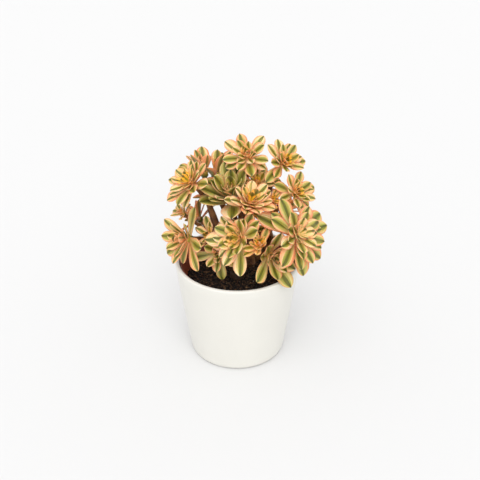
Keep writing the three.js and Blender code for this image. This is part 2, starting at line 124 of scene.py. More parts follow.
# The kinds of node that are used most
NOISE = "ShaderNodeTexNoise"
RANGE = "ShaderNodeMapRange"
RAMP = "ShaderNodeValToRGB"
FIELD = "GeometryNodeInputNamedAttribute"
SEPARATE = "ShaderNodeSeparateXYZ"
COMBINE = "ShaderNodeCombineXYZ"
MIX = ("ShaderNodeMix", {"data_type": "RGBA"})
PLUS, MINUS, TIMES, OVER, TIMES_PLUS, SIZE_OF, LOWER_OF, HIGHER_OF, ABOVE, SINE, COSINE = [
    ("ShaderNodeMath", {"operation": name}) for name in (
        "ADD", "SUBTRACT", "MULTIPLY", "DIVIDE", "MULTIPLY_ADD", "ABSOLUTE", "MINIMUM", "MAXIMUM",
        "GREATER_THAN", "SINE", "COSINE",
    )
]
VECTOR_PLUS, VECTOR_TIMES, VECTOR_TIMES_PLUS, VECTOR_SCALE = [
    ("ShaderNodeVectorMath", {"operation": name}) for name in ("ADD", "MULTIPLY", "MULTIPLY_ADD", "SCALE")
]

print("the mid grey 0x808080 in linear light:", round(linear(0x808080)[0], 3))

# %% [markdown]
# A material starts as one principled shader, the model that most real surfaces fit. A graph gives
# it its colour, and a field of heights bends its surface as a bump. Real displacement would catch
# the light better along an outline, but no relief here is deeper than 0.6 mm.

# %% Materials


def new_material(name, roughness, **shader_values):
    """A material with one principled shader, and its node tree."""
    material = bpy.data.materials.new(name)
    material.use_nodes = True
    shader = material.node_tree.nodes["Principled BSDF"]
    shader.inputs["Roughness"].default_value = roughness
    for key, value in shader_values.items():
        shader.inputs[key.replace("_", " ")].default_value = value
    return material, material.node_tree


def coated(material, colour, height, strength, depth):
    """Give a material its colour, and let a field of heights of this depth bend its surface."""
    tree = material.node_tree
    shader = tree.nodes["Principled BSDF"]
    bump = add(tree, "ShaderNodeBump", {"Height": height, "Strength": strength, "Distance": depth})
    tree.links.new(colour, shader.inputs["Base Color"])
    tree.links.new(bump, shader.inputs["Normal"])
    return material


# %% [markdown]
# The pots, the buds, the crown and the soil's bed are round, so one function turns a profile of
# radius and height round the Z axis. A Screw modifier could do it too, but here the points on the
# axis are merged and the faces turned outwards at once, and nothing is left to apply.

# %% Round shapes
MERGE_DISTANCE = 1e-6


def object_from(name, points, faces):
    """A mesh object at the origin, its doubles merged and its faces turned outwards."""
    mesh = bpy.data.meshes.new(name)
    mesh.from_pydata([tuple(p) for p in points], [], faces)
    shape = bmesh.new()
    shape.from_mesh(mesh)
    bmesh.ops.remove_doubles(shape, verts=shape.verts, dist=MERGE_DISTANCE)
    bmesh.ops.recalc_face_normals(shape, faces=shape.faces)
    shape.to_mesh(mesh)
    shape.free()
    mesh.polygons.foreach_set("use_smooth", [True] * len(mesh.polygons))
    return in_scene(name, mesh)


def turned(name, profile, sides, unit=1):
    """A shape turned round Z from a profile of (radius, height) pairs, from axis to axis."""
    points = []
    faces = []
    for side in range(sides):
        angle = 2 * math.pi * side / sides
        rings = [(r * unit, z * unit) for r, z in profile]
        points += [(r * math.cos(angle), r * math.sin(angle), z) for r, z in rings]
    count = len(profile)
    for side in range(sides):
        here = side * count
        there = ((side + 1) % sides) * count
        for k in range(count - 1):
            corners = [here + k, there + k, there + k + 1, here + k + 1]
            if profile[k][0] == 0:
                corners.pop(1)
            elif profile[k + 1][0] == 0:
                corners.pop(2)
            faces.append(corners)
    return object_from(name, points, faces)


def arc(radius, height, round_radius, start, end, steps):
    """Profile points along an arc about (radius, height), from one angle to another in degrees."""
    angles = [math.radians(start + (end - start) * k / steps) for k in range(steps + 1)]
    return [(radius + round_radius * math.cos(a), height + round_radius * math.sin(a)) for a in angles]


# %% [markdown]
# A finished piece stands in for one node of the imported model. Two calls say so: which body it
# rides on and which node it replaces. Its triangles and its box are printed, so that a piece that
# grew too heavy or too big shows at once.

# %% Finished pieces


def finish_piece(piece, node):
    """Put a finished piece in the place of its node, and say how big it is."""
    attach(piece, "root")
    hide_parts(node)
    triangles = sum(len(p.vertices) - 2 for p in piece.data.polygons)
    points = np.array([v.co for v in piece.data.vertices]) / MM
    print(piece.name, triangles, "triangles, box in mm", points.min(0).round(1), points.max(0).round(1))


# %% [markdown]
# The cover pot is slip-cast earthenware under a satin white glaze. It could be carved from a
# cylinder or modelled as a solid with a bevel, but a pot is thrown or cast round an axis, so a
# turned profile is its true description: a flat foot with a rounded edge, a wall that bows very
# slightly, and a lip rounded on both sides. The glaze is a smooth skin with a long, faint
# waviness, which shows only in the way its highlights bend.

# %% Cover pot
COVER_HEIGHT = 108 * MM
COVER_RIM = 65 * MM
COVER_WALL = 4.7 * MM
COVER_FOOT = 46.2 * MM
COVER_FOOT_ROUND = 4.5 * MM
COVER_BOW = 0.5 * MM
COVER_LIP = 1.9 * MM
COVER_FLOOR = 5 * MM
COVER_CORNER = (1.2 * MM, 2 * MM)
COVER_SIDES = 160
UNDERSIDE_RING = 0.6

# Heights in mm at which the bowed wall has a ring of points, outside upwards and inside downwards
OUTSIDE_RINGS = range(16, 106, 10)
INSIDE_RINGS = range(98, 12, -12)


def cover_outside(height):
    """The radius of the outside at a height, both in metres."""
    low = COVER_FOOT + COVER_FOOT_ROUND
    rise = (height - COVER_FOOT_ROUND) / (COVER_HEIGHT - COVER_FOOT_ROUND)
    return low + (COVER_RIM - low) * rise + COVER_BOW * 4 * rise * (1 - rise)


def cover_profile():
    shoulder = COVER_HEIGHT - COVER_LIP
    inner = COVER_RIM - COVER_WALL + COVER_LIP
    outside = [(cover_outside(h * MM), h * MM) for h in OUTSIDE_RINGS]
    inside = [(cover_outside(h * MM) - COVER_WALL, h * MM) for h in INSIDE_RINGS]
    out, up = COVER_CORNER
    corner = cover_outside(COVER_FLOOR) - COVER_WALL - up
    return (
        [(0, 0), (COVER_FOOT * UNDERSIDE_RING, 0)]
        + arc(COVER_FOOT, COVER_FOOT_ROUND, COVER_FOOT_ROUND, -90, 0, 8)
        + outside
        + arc(cover_outside(shoulder) - COVER_LIP, shoulder, COVER_LIP, 0, 90, 6)
        + arc(inner, shoulder, COVER_LIP, 90, 180, 6)
        + inside
        + [(corner + out, COVER_FLOOR + up), (corner, COVER_FLOOR), (0, COVER_FLOOR)]
    )


def even_skin(name, roughness, index, clouds, grain):
    """A skin of one colour with faint clouds in it, and a grain that bends its surface.

    clouds are a scale, a detail and two colours, grain a length in mm, a detail, a strength and a
    depth."""
    material, tree = new_material(name, roughness, IOR=index)
    place = add(tree, "ShaderNodeTexCoord", output="Object")
    scale, detail, one, other = clouds
    cloud = add(tree, NOISE, {"Vector": place, "Scale": scale, "Detail": detail})
    tint = add(tree, MIX, {"Factor": cloud, "A": linear(one), "B": linear(other)})
    length, detail, strength, depth = grain
    wave = add(tree, NOISE, {"Vector": place, "Scale": 1 / (length * MM), "Detail": detail})
    return coated(material, tint, wave, strength, depth)


# Glazed earthenware: a glassy skin over a matt white body, so it is pale and even with soft,
# slightly wavy highlights. The waviness is 18 mm long, the length that dipping and firing leave.
GLAZE_WAVE_MM = 18


def glazed_earthenware():
    return even_skin(
        "glazed earthenware", 0.32, 1.5, (25.0, 3.0, 0xD9D7CF, 0xE0DED7),
        (GLAZE_WAVE_MM, 1.0, 0.25, 0.6 * MM),
    )


cover = turned("glazed_cover_pot", cover_profile(), COVER_SIDES)
cover.data.materials.append(glazed_earthenware())
finish_piece(cover, "cover_pot")

# %% [markdown]
# The nursery pot is thin polypropylene, blow-moulded in a dark reddish brown. Its look comes from
# a stiff rim band, a wall only 1.2 mm thick, and the faint grain of a cheap mould. It is turned
# like the cover pot, and its drain holes are then cut with one Boolean. The holes could also be
# left out, since the cover hides them, but a part is looked at from every side.

# %% Nursery pot
NURSERY_TOP = 104.8 * MM
NURSERY_RIM = 59.3 * MM
NURSERY_BAND = 10 * MM
NURSERY_FOOT = 42.5 * MM
NURSERY_WALL = 1.2 * MM
NURSERY_STAND = 0.3 * MM
NURSERY_BOTTOM = COVER_FLOOR + NURSERY_STAND
NURSERY_FLOOR = NURSERY_BOTTOM + NURSERY_WALL
NURSERY_BAND_LOW = NURSERY_TOP - NURSERY_BAND
NURSERY_BAND_DEPTH = 2.4 * MM
NURSERY_BAND_SLANT = 0.3 * MM
NURSERY_INNER_SLANT = 1.5 * MM
NURSERY_SHOULDER = NURSERY_RIM - NURSERY_BAND_DEPTH
NURSERY_FOOT_ROUND = 1.5 * MM
NURSERY_BAND_TAPER = 0.9 * MM
NURSERY_SIDES = 120
DRAIN_HOLES = 5
DRAIN_RADIUS = 4 * MM
DRAIN_CIRCLE = 34 * MM
DRAIN_OVERCUT = 2 * MM
DRAIN_SIDES = 24


def nursery_inside(height):
    """The radius of the wall's inner face at a height, both in metres."""
    rise = (height - NURSERY_FLOOR) / (NURSERY_BAND_LOW - NURSERY_FLOOR)
    low = NURSERY_FOOT - NURSERY_WALL
    return low + (NURSERY_SHOULDER - NURSERY_WALL - low) * rise


def nursery_profile():
    bead = NURSERY_WALL / 2
    inside = NURSERY_RIM - NURSERY_WALL
    foot = NURSERY_FOOT - NURSERY_FOOT_ROUND
    return (
        [(0, NURSERY_BOTTOM), (foot, NURSERY_BOTTOM)]
        + arc(foot, NURSERY_BOTTOM + NURSERY_FOOT_ROUND, NURSERY_FOOT_ROUND, -70, 0, 4)
        + [(NURSERY_SHOULDER, NURSERY_BAND_LOW)]
        + [(NURSERY_RIM - NURSERY_BAND_TAPER, NURSERY_BAND_LOW + NURSERY_BAND_SLANT)]
        + arc(NURSERY_RIM - bead, NURSERY_TOP - bead, bead, 0, 180, 8)
        + [(inside - NURSERY_BAND_TAPER, NURSERY_BAND_LOW + NURSERY_INNER_SLANT)]
        + [(nursery_inside(NURSERY_BAND_LOW), NURSERY_BAND_LOW)]
        + [(nursery_inside(NURSERY_FLOOR), NURSERY_FLOOR), (0, NURSERY_FLOOR)]
    )


def drain_cutter():
    """A rod for each drain hole, through the pot's floor, all in one object."""
    points = []
    faces = []
    sides = DRAIN_SIDES
    for hole in range(DRAIN_HOLES):
        turn = 2 * math.pi * hole / DRAIN_HOLES
        first = len(points)
        for z in (NURSERY_BOTTOM - DRAIN_OVERCUT, NURSERY_FLOOR + DRAIN_OVERCUT):
            for side in range(sides):
                angle = 2 * math.pi * side / sides
                x = DRAIN_CIRCLE * math.cos(turn) + DRAIN_RADIUS * math.cos(angle)
                y = DRAIN_CIRCLE * math.sin(turn) + DRAIN_RADIUS * math.sin(angle)
                points.append((x, y, z))
        for side in range(sides):
            after = (side + 1) % sides
            faces.append([first + side, first + after, first + after + sides, first + side + sides])
        faces.append([first + side for side in range(sides)])
        faces.append([first + sides + side for side in range(sides)])
    return object_from("drain_cutter", points, faces)


def applied(piece, modifier):
    """The mesh that a modifier gives, with the modifier taken off again."""
    seen = piece.evaluated_get(bpy.context.evaluated_depsgraph_get())
    mesh = bpy.data.meshes.new_from_object(seen)
    piece.modifiers.remove(modifier)
    return mesh


def cut(piece, cutter):
    """Cut a piece with a cutter, keep the result in the piece and drop the cutter."""
    modifier = piece.modifiers.new("cut", "BOOLEAN")
    modifier.object = cutter
    modifier.operation = "DIFFERENCE"
    modifier.solver = "EXACT"
    piece.data = applied(piece, modifier)
    bpy.data.objects.remove(cutter)


# Moulded polypropylene: waxy and slightly translucent at its edges, here a dark reddish brown.
# Its mould grain is 0.8 mm, drawn a little coarser than life so that it shows.
MOULD_GRAIN_MM = 0.8


def moulded_polypropylene():
    return even_skin(
        "moulded polypropylene", 0.42, 1.49, (60.0, 4.0, 0x6E2A10, 0x9C4A22),
        (MOULD_GRAIN_MM, 2.0, 0.3, 0.15 * MM),
    )


nursery = turned("moulded_nursery_pot", nursery_profile(), NURSERY_SIDES)
cut(nursery, drain_cutter())
nursery.data.materials.append(moulded_polypropylene())
finish_piece(nursery, "nursery_pot")

# %% [markdown]
# A rosette grows leaves one after another round its bud, each about 137.5 degrees on from the
# last, the golden angle, so no two leaves cover each other. The same rule that placed the leaves
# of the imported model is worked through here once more. Copying its leaves as a list of numbers
# would be shorter to run but would say nothing about how the plant grows, and could not be
# changed. Each row below is one rosette: its heart in mm, the direction that it faces as azimuth
# and tilt, the reach of its longest leaf, its number of leaves, the turn of its oldest leaf, its
# lowest and highest leaf angle, and the main stem that carries it.

# %% The rosettes
ROSETTES = [
    ("rosette_01", (10, 11, 217), (-95, 43), 27, 18, 144, (9, 80), 2),
    ("rosette_02", (46, 14, 209), (-56, 47), 27, 16, 72, (6, 62), 3),
    ("rosette_03", (57, -2, 184), (-63, 55), 25, 16, 3, (4, 68), 3),
    ("rosette_04", (58, -40, 158), (-52, 53), 39, 22, 113, (-12, 42), 3),
    ("rosette_05", (33, -35, 131), (-64, 76), 38, 13, 155, (26, 73), 1),
    ("rosette_06", (22, -46, 149), (-95, 34), 21, 12, 154, (8, 80), 1),
    ("rosette_07", (3, -41, 155), (-120, 64), 37, 20, 234, (-7, 56), 1),
    ("rosette_08", (12, -18, 181), (-66, 28), 32, 18, 131, (19, 54), 2),
    ("rosette_09", (34, -8, 178), (-52, 46), 16, 10, 195, (28, 70), 3),
    ("rosette_10", (-45, -4, 196), (-138, 42), 30, 18, 99, (7, 48), 0),
    ("rosette_11", (-6, 4, 177), (-106, 25), 47, 13, 155, (35, 66), 2),
    ("rosette_12", (-33, 22, 197), (78, 4), 30, 11, 290, (54, 86), 0),
    ("rosette_13", (-22, 24, 195), (52, 4), 32, 8, 114, (45, 86), 2),
    ("rosette_14", (-51, -21, 143), (-144, 72), 32, 17, 315, (5, 78), 0),
    ("rosette_15", (-54, -6, 164), (-160, 40), 15, 11, 206, (24, 80), 0),
    ("rosette_16", (-19, -24, 129), (-105, 53), 27, 13, 281, (-5, 86), 0),
    ("rosette_17", (28, -16, 159), (-78, 43), 15, 10, 136, (28, 60), 1),
    ("rosette_18", (-27, -17, 144), (-115, 50), 23, 12, 60, (-5, 75), 0),
    ("rosette_19", (9, -25, 154), (-95, 40), 22, 12, 100, (-15, 62), 1),
    ("rosette_20", (20, 6, 190), (-90, 40), 24, 13, 20, (-10, 75), 2),
    ("rosette_21", (-18, 44, 160), (110, 45), 30, 12, 0, (0, 75), 2),
    ("rosette_22", (24, 46, 172), (75, 42), 30, 12, 90, (0, 75), 2),
    ("rosette_23", (50, 30, 148), (35, 55), 28, 11, 45, (0, 75), 3),
    ("rosette_24", (-42, 30, 140), (145, 58), 27, 11, 30, (0, 75), 0),
    ("rosette_25", (14, 54, 136), (85, 66), 26, 11, 200, (0, 75), 2),
    ("rosette_26", (6, 40, 196), (95, 34), 25, 11, 140, (0, 75), 2),
]

# What a leaf may do to stay clear of the others: turn and lift in degrees, share of its length
LEAF_TRIES = [
    (0, 0, 1), (0, 7, 1), (7, 0, 1), (-7, 0, 1), (0, -7, 1), (8, 8, 1), (-8, 8, 1), (0, 14, 1),
    (13, 3, 1), (-13, 3, 1), (0, 22, 1), (0, 0, 0.88), (9, 8, 0.88), (-9, 8, 0.88),
    (0, 14, 0.88), (0, -10, 0.88), (0, 28, 0.9), (0, 0, 0.75), (10, 10, 0.75),
    (-10, 10, 0.75), (0, 24, 0.75), (0, 36, 0.75), (15, 20, 0.7), (-15, 20, 0.7),
    (0, 0, 0.6), (0, 20, 0.6),
]

GOLDEN_ANGLE = math.radians(137.508)
FULL_REACH = 32
CORE_RADIUS = 4.4
CORE_PROFILE = [(0, -8), (2.6, -8), (CORE_RADIUS, -5), (3.4, 1), (0, 3.5)]
ROOT_RADIUS = 2.2
ROOT_LOW = -5
ROOT_CLIMB = 7
YOUNG_LENGTH_LOSS = 0.62
LENGTH_FALL = 1.3
LIFT_RISE = 0.9
LEAST_HALF_WIDTH = 0.21
HALF_WIDTH_SPREAD = 0.03
LEAST_KEEL = 0.8
KEEL_SHARE = 0.058
KEEL_THINNING = 0.55
OLD_CURL = -14
YOUNG_CURL = 20
TURN_SPREAD = 0.2
LIFT_SPREAD = 0.16
LENGTH_SPREAD = 0.1
CHANNEL_RISE = 0.22

# Half width along a leaf as a share of its widest: a narrow foot, a broad shoulder, a point
WIDTHS = [
    (0, 0.3), (0.15, 0.44), (0.3, 0.62), (0.45, 0.81), (0.58, 0.95), (0.7, 1.0),
    (0.8, 0.94), (0.88, 0.77), (0.94, 0.52), (0.975, 0.27), (1, 0),
]
width_stations, width_shares = zip(*WIDTHS)
print("rosettes:", len(ROSETTES), "leaves asked for:", sum(row[4] for row in ROSETTES))


def axis_of(lean):
    """The direction with this azimuth and this tilt from upright, both in degrees."""
    azimuth, tilt = map(math.radians, lean)
    flat = math.sin(tilt)
    return np.array([flat * math.cos(azimuth), flat * math.sin(azimuth), math.cos(tilt)])


def seeded_draws(seeds, owner):
    """Sets of four numbers between 0 and 1 for a rosette's leaves, the same on every run."""
    state = seeds[0] + seeds[1] * owner
    while True:
        draws = []
        for _ in range(4):
            state = (state * 1664525 + 1013904223) % 2**32
            draws.append(state / 2**32)
        yield draws


# %% [markdown]
# Four main stems rise from one crown in the soil and fork into a branch for each rosette. Each
# main stem is a curve with one bend, and each branch a curve that leaves its stem upwards and
# arrives along its rosette's axis, as a shoot does that turned to the light.

# %% The stems' courses
CROWN_TOP = 93
MAIN_STEMS = [(-20, -4, 118), (16, -14, 112), (2, 12, 128), (37, 2, 120)]
MAIN_FOOT_SINK = 2
MAIN_BEND_HEIGHT = 105
MAIN_BEND_SHARE = 0.4
MAIN_FOOT_RADIUS = 5.2
MAIN_TOP_RADIUS = 3.8
STEM_FORK_RADIUS = 3.1
STEM_END_RADIUS = 2.3
STEM_STEPS = 4
FIRST_FORK = 0.55
LAST_FORK = 1
FORK_STEP = 0.618
BRANCH_BEND = 0.35
SEAT_GAP = 0.3


def bezier(controls, t):
    """A point of the curve with these control points, by repeated halfway steps."""
    points = [np.array(c, float) for c in controls]
    while len(points) > 1:
        points = [a * (1 - t) + b * t for a, b in zip(points, points[1:])]
    return points[0]


def stem_courses():
    """Each stem as (control points, low radius, high radius, its rosette or a number below 0)."""
    foot = (0, 0, CROWN_TOP - MAIN_FOOT_SINK)
    mains = []
    for x, y, z in MAIN_STEMS:
        bend = (x * MAIN_BEND_SHARE, y * MAIN_BEND_SHARE, MAIN_BEND_HEIGHT)
        mains.append([foot, bend, (x, y, z)])
    courses = [(m, MAIN_FOOT_RADIUS, MAIN_TOP_RADIUS, -1 - k) for k, m in enumerate(mains)]
    for index, (_, heart, lean, reach, _, _, _, main) in enumerate(ROSETTES):
        axis = axis_of(lean)
        size = reach / FULL_REACH
        end = np.array(heart) + axis * (CORE_PROFILE[0][1] * size - SEAT_GAP)
        fork = FIRST_FORK + (LAST_FORK - FIRST_FORK) * ((index * FORK_STEP) % 1)
        start = bezier(mains[main], fork)
        bend = np.linalg.norm(end - start) * BRANCH_BEND
        controls = [start, start + np.array([0, 0, bend]), end - axis * bend, end]
        courses.append((controls, STEM_FORK_RADIUS, min(STEM_END_RADIUS, STEM_FORK_RADIUS * size), index))
    return courses


def stem_segments(courses):
    """Straight pieces of the stems: (rosette, start, end, radius)."""
    pieces = []
    for controls, low, high, rosette in courses:
        for step in range(STEM_STEPS):
            start = bezier(controls, step / STEM_STEPS)
            end = bezier(controls, (step + 1) / STEM_STEPS)
            pieces.append((rosette, start, end, low + (high - low) * (step + 0.5) / STEM_STEPS))
    return pieces


courses = stem_courses()
print("stems:", len(courses))

# %% [markdown]
# A leaf follows a circular arc in the plane of its own radius: an old one curls down, a young one
# up. Its outline, its channel and its keel are set off from that arc. A free curve could bend in
# more ways, but an arc needs two numbers only, and both say something about the plant.

# %% One leaf
SAMPLE_STATIONS = 15
FIRST_SAMPLE = 2


def make_leaf(owner, index, draws, move):
    """One leaf of a rosette as a dictionary of its frame and sizes, in mm and radians."""
    _, heart, lean, reach, count, turn, (low, high), _ = ROSETTES[owner]
    turn_by, lift_by, share = move
    axis = axis_of(lean)
    across = np.cross([0, 0, 1], axis)
    across /= np.linalg.norm(across)
    upward = np.cross(axis, across)
    age = index / (count - 1)
    size = reach / FULL_REACH
    angle = math.radians(turn + turn_by) + index * GOLDEN_ANGLE + (draws[0] - 0.5) * TURN_SPREAD
    shrink = 1 - YOUNG_LENGTH_LOSS * age**LENGTH_FALL
    length = reach * shrink * (1 + LENGTH_SPREAD * (draws[2] - 0.5)) * share
    radial = across * math.cos(angle) + upward * math.sin(angle)
    root = np.array(heart) + radial * (ROOT_RADIUS * (1 - age) * size)
    curl = math.radians(OLD_CURL + (YOUNG_CURL - OLD_CURL) * age)
    lift = math.radians(low + (high - low) * age**LIFT_RISE + lift_by)
    return {
        "owner": owner, "age": age, "length": length, "axis": axis, "radial": radial,
        "side": np.cross(axis, radial),
        "root": root + axis * ((ROOT_LOW + ROOT_CLIMB * age) * size),
        "rise": lift + (draws[1] - 0.5) * LIFT_SPREAD,
        "curl": curl if abs(curl) > 1e-3 else 1e-3,
        "half": length * (LEAST_HALF_WIDTH + HALF_WIDTH_SPREAD * draws[3]),
        "keel": max(LEAST_KEEL, KEEL_SHARE * length),
        "tone": draws[3],
    }


def leaf_samples(leaf):
    """Points on a leaf's upper face and keel, station by station from foot to tip."""
    t = np.arange(FIRST_SAMPLE, SAMPLE_STATIONS + 1)[:, None] / SAMPLE_STATIONS
    angle = leaf["rise"] + leaf["curl"] * t
    bend = leaf["length"] / leaf["curl"]
    out = bend * (np.sin(angle) - math.sin(leaf["rise"]))
    up = bend * (math.cos(leaf["rise"]) - np.cos(angle))
    middle = leaf["root"] + leaf["radial"] * out + leaf["axis"] * up
    normal = leaf["axis"] * np.cos(angle) - leaf["radial"] * np.sin(angle)
    half = leaf["half"] * np.interp(t, width_stations, width_shares)
    rows = [
        middle + leaf["side"] * half * share + normal * half * CHANNEL_RISE * abs(share)
        for share in (-1, -0.5, 0, 0.5, 1)
    ]
    rows.append(middle - normal * leaf["keel"] * (1 - KEEL_THINNING * t))
    return np.stack(rows, 1).reshape(-1, 3)


def with_samples(leaf):
    """The same leaf with its sample points and the ball round them."""
    points = leaf_samples(leaf)
    centre = points.mean(0)
    radius = np.linalg.norm(points - centre, axis=1).max()
    return {**leaf, "points": points, "centre": centre, "radius": radius}


print("reach of the longest leaf in mm:", max(row[3] for row in ROSETTES))

# %% [markdown]
# Leaves don't grow through one another. A leaf is tested as a cloud of points on its faces: against
# the clouds of the leaves near it, against cores and stems as round rods, and against the pot's rim
# and the soil. A test between whole meshes would be sharper but far slower.

# %% Room round a leaf
STEM_GAP = 1.3
POINTS_PER_STATION = 6
OWN_LEAF_SKIP = 6 * POINTS_PER_STATION
OWN_STEM_SKIP = 4 * POINTS_PER_STATION
MOUTH_EDGE = 56
POT_RIM_RADIUS = 65
POT_RIM_HEIGHT = 108
RIM_CLEARANCE = 2.5
RIM_LIFT = 1.5
LOWEST_HANG = 12
SOIL_TOP = 84
SOIL_CLEARANCE = 3.5


def clear_of_pot(points):
    radius = np.hypot(points[:, 0], points[:, 1])
    lowest = np.where(
        radius < MOUTH_EDGE, SOIL_TOP + SOIL_CLEARANCE,
        np.where(
            radius < POT_RIM_RADIUS + RIM_CLEARANCE, POT_RIM_HEIGHT + RIM_LIFT,
            POT_RIM_HEIGHT - LOWEST_HANG,
        ),
    )
    return bool((points[:, 2] >= lowest).all())


def room_from_points(points, others):
    """The least distance between two clouds of points."""
    return math.sqrt(((points[:, None] - others[None]) ** 2).sum(2).min())


def room_from_rod(points, start, end, radius):
    """The least distance from a cloud of points to a round rod."""
    span = end - start
    share = np.clip((points - start) @ span / (span @ span), 0, 1)
    return np.linalg.norm(points - start - share[:, None] * span, axis=1).min() - radius


def core_rods():
    rods = []
    for owner, (_, heart, lean, reach, *_) in enumerate(ROSETTES):
        size = reach / FULL_REACH
        ends = (CORE_PROFILE[0][1], CORE_PROFILE[-1][1])
        low, high = (np.array(heart) + axis_of(lean) * z * size for z in ends)
        rods.append((owner, low, high, CORE_RADIUS * size))
    return rods


def room_of(leaf, others, cores, stems, gaps, least):
    """How much more room a leaf has than it needs. The search ends as soon as it is below least."""
    points, centre, radius, owner = (leaf[key] for key in ("points", "centre", "radius", "owner"))
    leaf_gap, own_gap = gaps
    room = math.inf if clear_of_pot(points) else -math.inf
    for rods, own_skip in ((cores, None), (stems, OWN_STEM_SKIP)):
        for other, start, end, thick in rods:
            reach = radius + np.linalg.norm(end - start) / 2 + thick + STEM_GAP
            if other == owner and own_skip is None or room < least:
                continue
            if np.linalg.norm(centre - (start + end) / 2) < reach:
                tested = points[own_skip:] if other == owner else points
                room = min(room, room_from_rod(tested, start, end, thick) - STEM_GAP)
    for other in others:
        if room < least:
            break
        if np.linalg.norm(centre - other["centre"]) > radius + other["radius"] + leaf_gap:
            continue
        own = other["owner"] == owner
        skip = OWN_LEAF_SKIP if own else 0
        gap = own_gap if own else leaf_gap
        room = min(room, room_from_points(points[skip:], other["points"][skip:]) - gap)
    return room


print("points that stand for a leaf:", (SAMPLE_STATIONS - FIRST_SAMPLE + 1) * POINTS_PER_STATION)

# %% [markdown]
# The leaves are placed by trial: the young leaves of every heart first, then the older ones round
# by round. Each takes the first small turn, lift or shortening that keeps it clear of the pot, the
# stems and the leaves already there, as growing leaves push each other aside. Bending each leaf by
# hand would look as good, but there are over 300 of them, and a simulation would not give the same
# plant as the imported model.

# %% Placing the leaves
LEAF_GAP = 2.3
OWN_LEAF_GAP = 0.6
LEAF_SEEDS = (1000, 17)


def place_leaves(cores, stems):
    """Every leaf that finds a place, the young ones first."""
    all_draws = []
    for owner, row in enumerate(ROSETTES):
        source = seeded_draws(LEAF_SEEDS, owner)
        all_draws.append([next(source) for _ in range(row[4])])
    placed = []
    for back in range(max(row[4] for row in ROSETTES)):
        for owner, row in enumerate(ROSETTES):
            index = row[4] - 1 - back
            if index < 0:
                continue
            for move in LEAF_TRIES:
                leaf = with_samples(make_leaf(owner, index, all_draws[owner][index], move))
                if room_of(leaf, placed, cores, stems, (LEAF_GAP, OWN_LEAF_GAP), 0) >= 0:
                    placed.append(leaf)
                    break
    return placed


cores = core_rods()
stem_rods = stem_segments(courses)
leaves = place_leaves(cores, stem_rods)
print("leaves placed:", len(leaves))

# %% [markdown]
# A real aeonium packs its rosettes more tightly than a light model can. So each rosette gets more
# leaves, a little shorter, each where the widest gap between the leaves is, and a tuft of very
# young ones round its bud. They take the same rule with other draws, and the leaves in the gaps go
# in no other rosette's way.

# %% Leaves that fill the gaps
EXTRA_SHARE = 0.5
EXTRA_LENGTH = 0.86
EXTRA_GAPS = (1.1, 0.3)
EXTRA_TURNS = range(0, 360, 30)
EXTRA_LIFTS = (-4, 10)
EXTRA_SEEDS = (5000, 29)
TUFT_LEAVES = 7
TUFT_LENGTH = (0.45, 0.8)
TUFT_TURN = 51.4
TUFT_AGE = 0.9
TUFT_SEEDS = (9000, 31)


def extra_leaves(placed, cores, stems):
    """Leaves for the widest gaps of every rosette, the old ones first."""
    added = []
    for owner, row in enumerate(ROSETTES):
        source = seeded_draws(EXTRA_SEEDS, owner)
        count = round(EXTRA_SHARE * row[4])
        for number in range(count):
            draws = next(source)
            index = (number + 0.5) / count * (row[4] - 1)
            best, most = None, 0
            for turn_by in EXTRA_TURNS:
                for lift_by in EXTRA_LIFTS:
                    leaf = with_samples(make_leaf(owner, index, draws, (turn_by, lift_by, EXTRA_LENGTH)))
                    room = room_of(leaf, placed + added, cores, stems, EXTRA_GAPS, most)
                    if room > most:
                        best, most = leaf, room
            if best:
                added.append(best)
    return added


def tuft_leaves():
    """Small young leaves, packed round each bud."""
    added = []
    for owner, row in enumerate(ROSETTES):
        source = seeded_draws(TUFT_SEEDS, owner)
        for number in range(TUFT_LEAVES):
            draws = next(source)
            share = TUFT_LENGTH[0] + (TUFT_LENGTH[1] - TUFT_LENGTH[0]) * draws[0]
            index = (row[4] - 1) * (TUFT_AGE + (1 - TUFT_AGE) * number / TUFT_LEAVES)
            added.append(make_leaf(owner, index, draws, (number * TUFT_TURN, 0, share)))
    return added


extra = extra_leaves(leaves, cores, stem_rods)
tuft = tuft_leaves()
print("leaves in the gaps:", len(extra), "and in the tufts:", len(tuft))
leaves += extra + tuft

# %% [markdown]
# One leaf blank serves all the leaves: a flat closed tube of rings, from a foot that sinks into
# the bud to a sharp tip. Every point of it knows how far along the leaf it is, how far across, and
# on which face, and that also carries the leaf's stripes later. The outline is a smooth curve
# through the widths above.

# %% The leaf blank
BLANK_STATIONS = [-0.04, 0.08, 0.18, 0.29, 0.4, 0.5, 0.59, 0.67, 0.75, 0.83, 0.9, 0.95, 0.98]
BLANK_SIDES = 10
BLANK_THICKNESS = 0.3
FOOT_END = -0.06
DEPTH_RISE = 2.2
SMOOTHING = 0.07
SMOOTHING_FADE = 0.2
SMOOTHING_STEPS = 4

# The point is a little slimmer than the outline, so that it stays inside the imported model's box
TRIM_FROM = 0.85
TIP_TRIM = 0.1


def smooth_width(t):
    """The outline at t: the average of the straight outline over a short stretch round it."""
    reach = SMOOTHING * min(1, (1 - t) / SMOOTHING_FADE)
    near = [t + reach * k / SMOOTHING_STEPS for k in range(-SMOOTHING_STEPS, SMOOTHING_STEPS + 1)]
    slimmer = TIP_TRIM * max(0, (t - TRIM_FROM) / (1 - TRIM_FROM))
    return float(np.mean(np.interp(near, width_stations, width_shares))) * (1 - slimmer)


def store(mesh, columns):
    """Store columns of numbers or vectors in a mesh, a row for each point, under their names."""
    for name, rows in columns.items():
        kind, field = ("FLOAT", "value") if np.ndim(rows) == 1 else ("FLOAT_VECTOR", "vector")
        layer = mesh.attributes.new(name, kind, "POINT")
        layer.data.foreach_set(field, np.array(rows, np.float32).ravel())


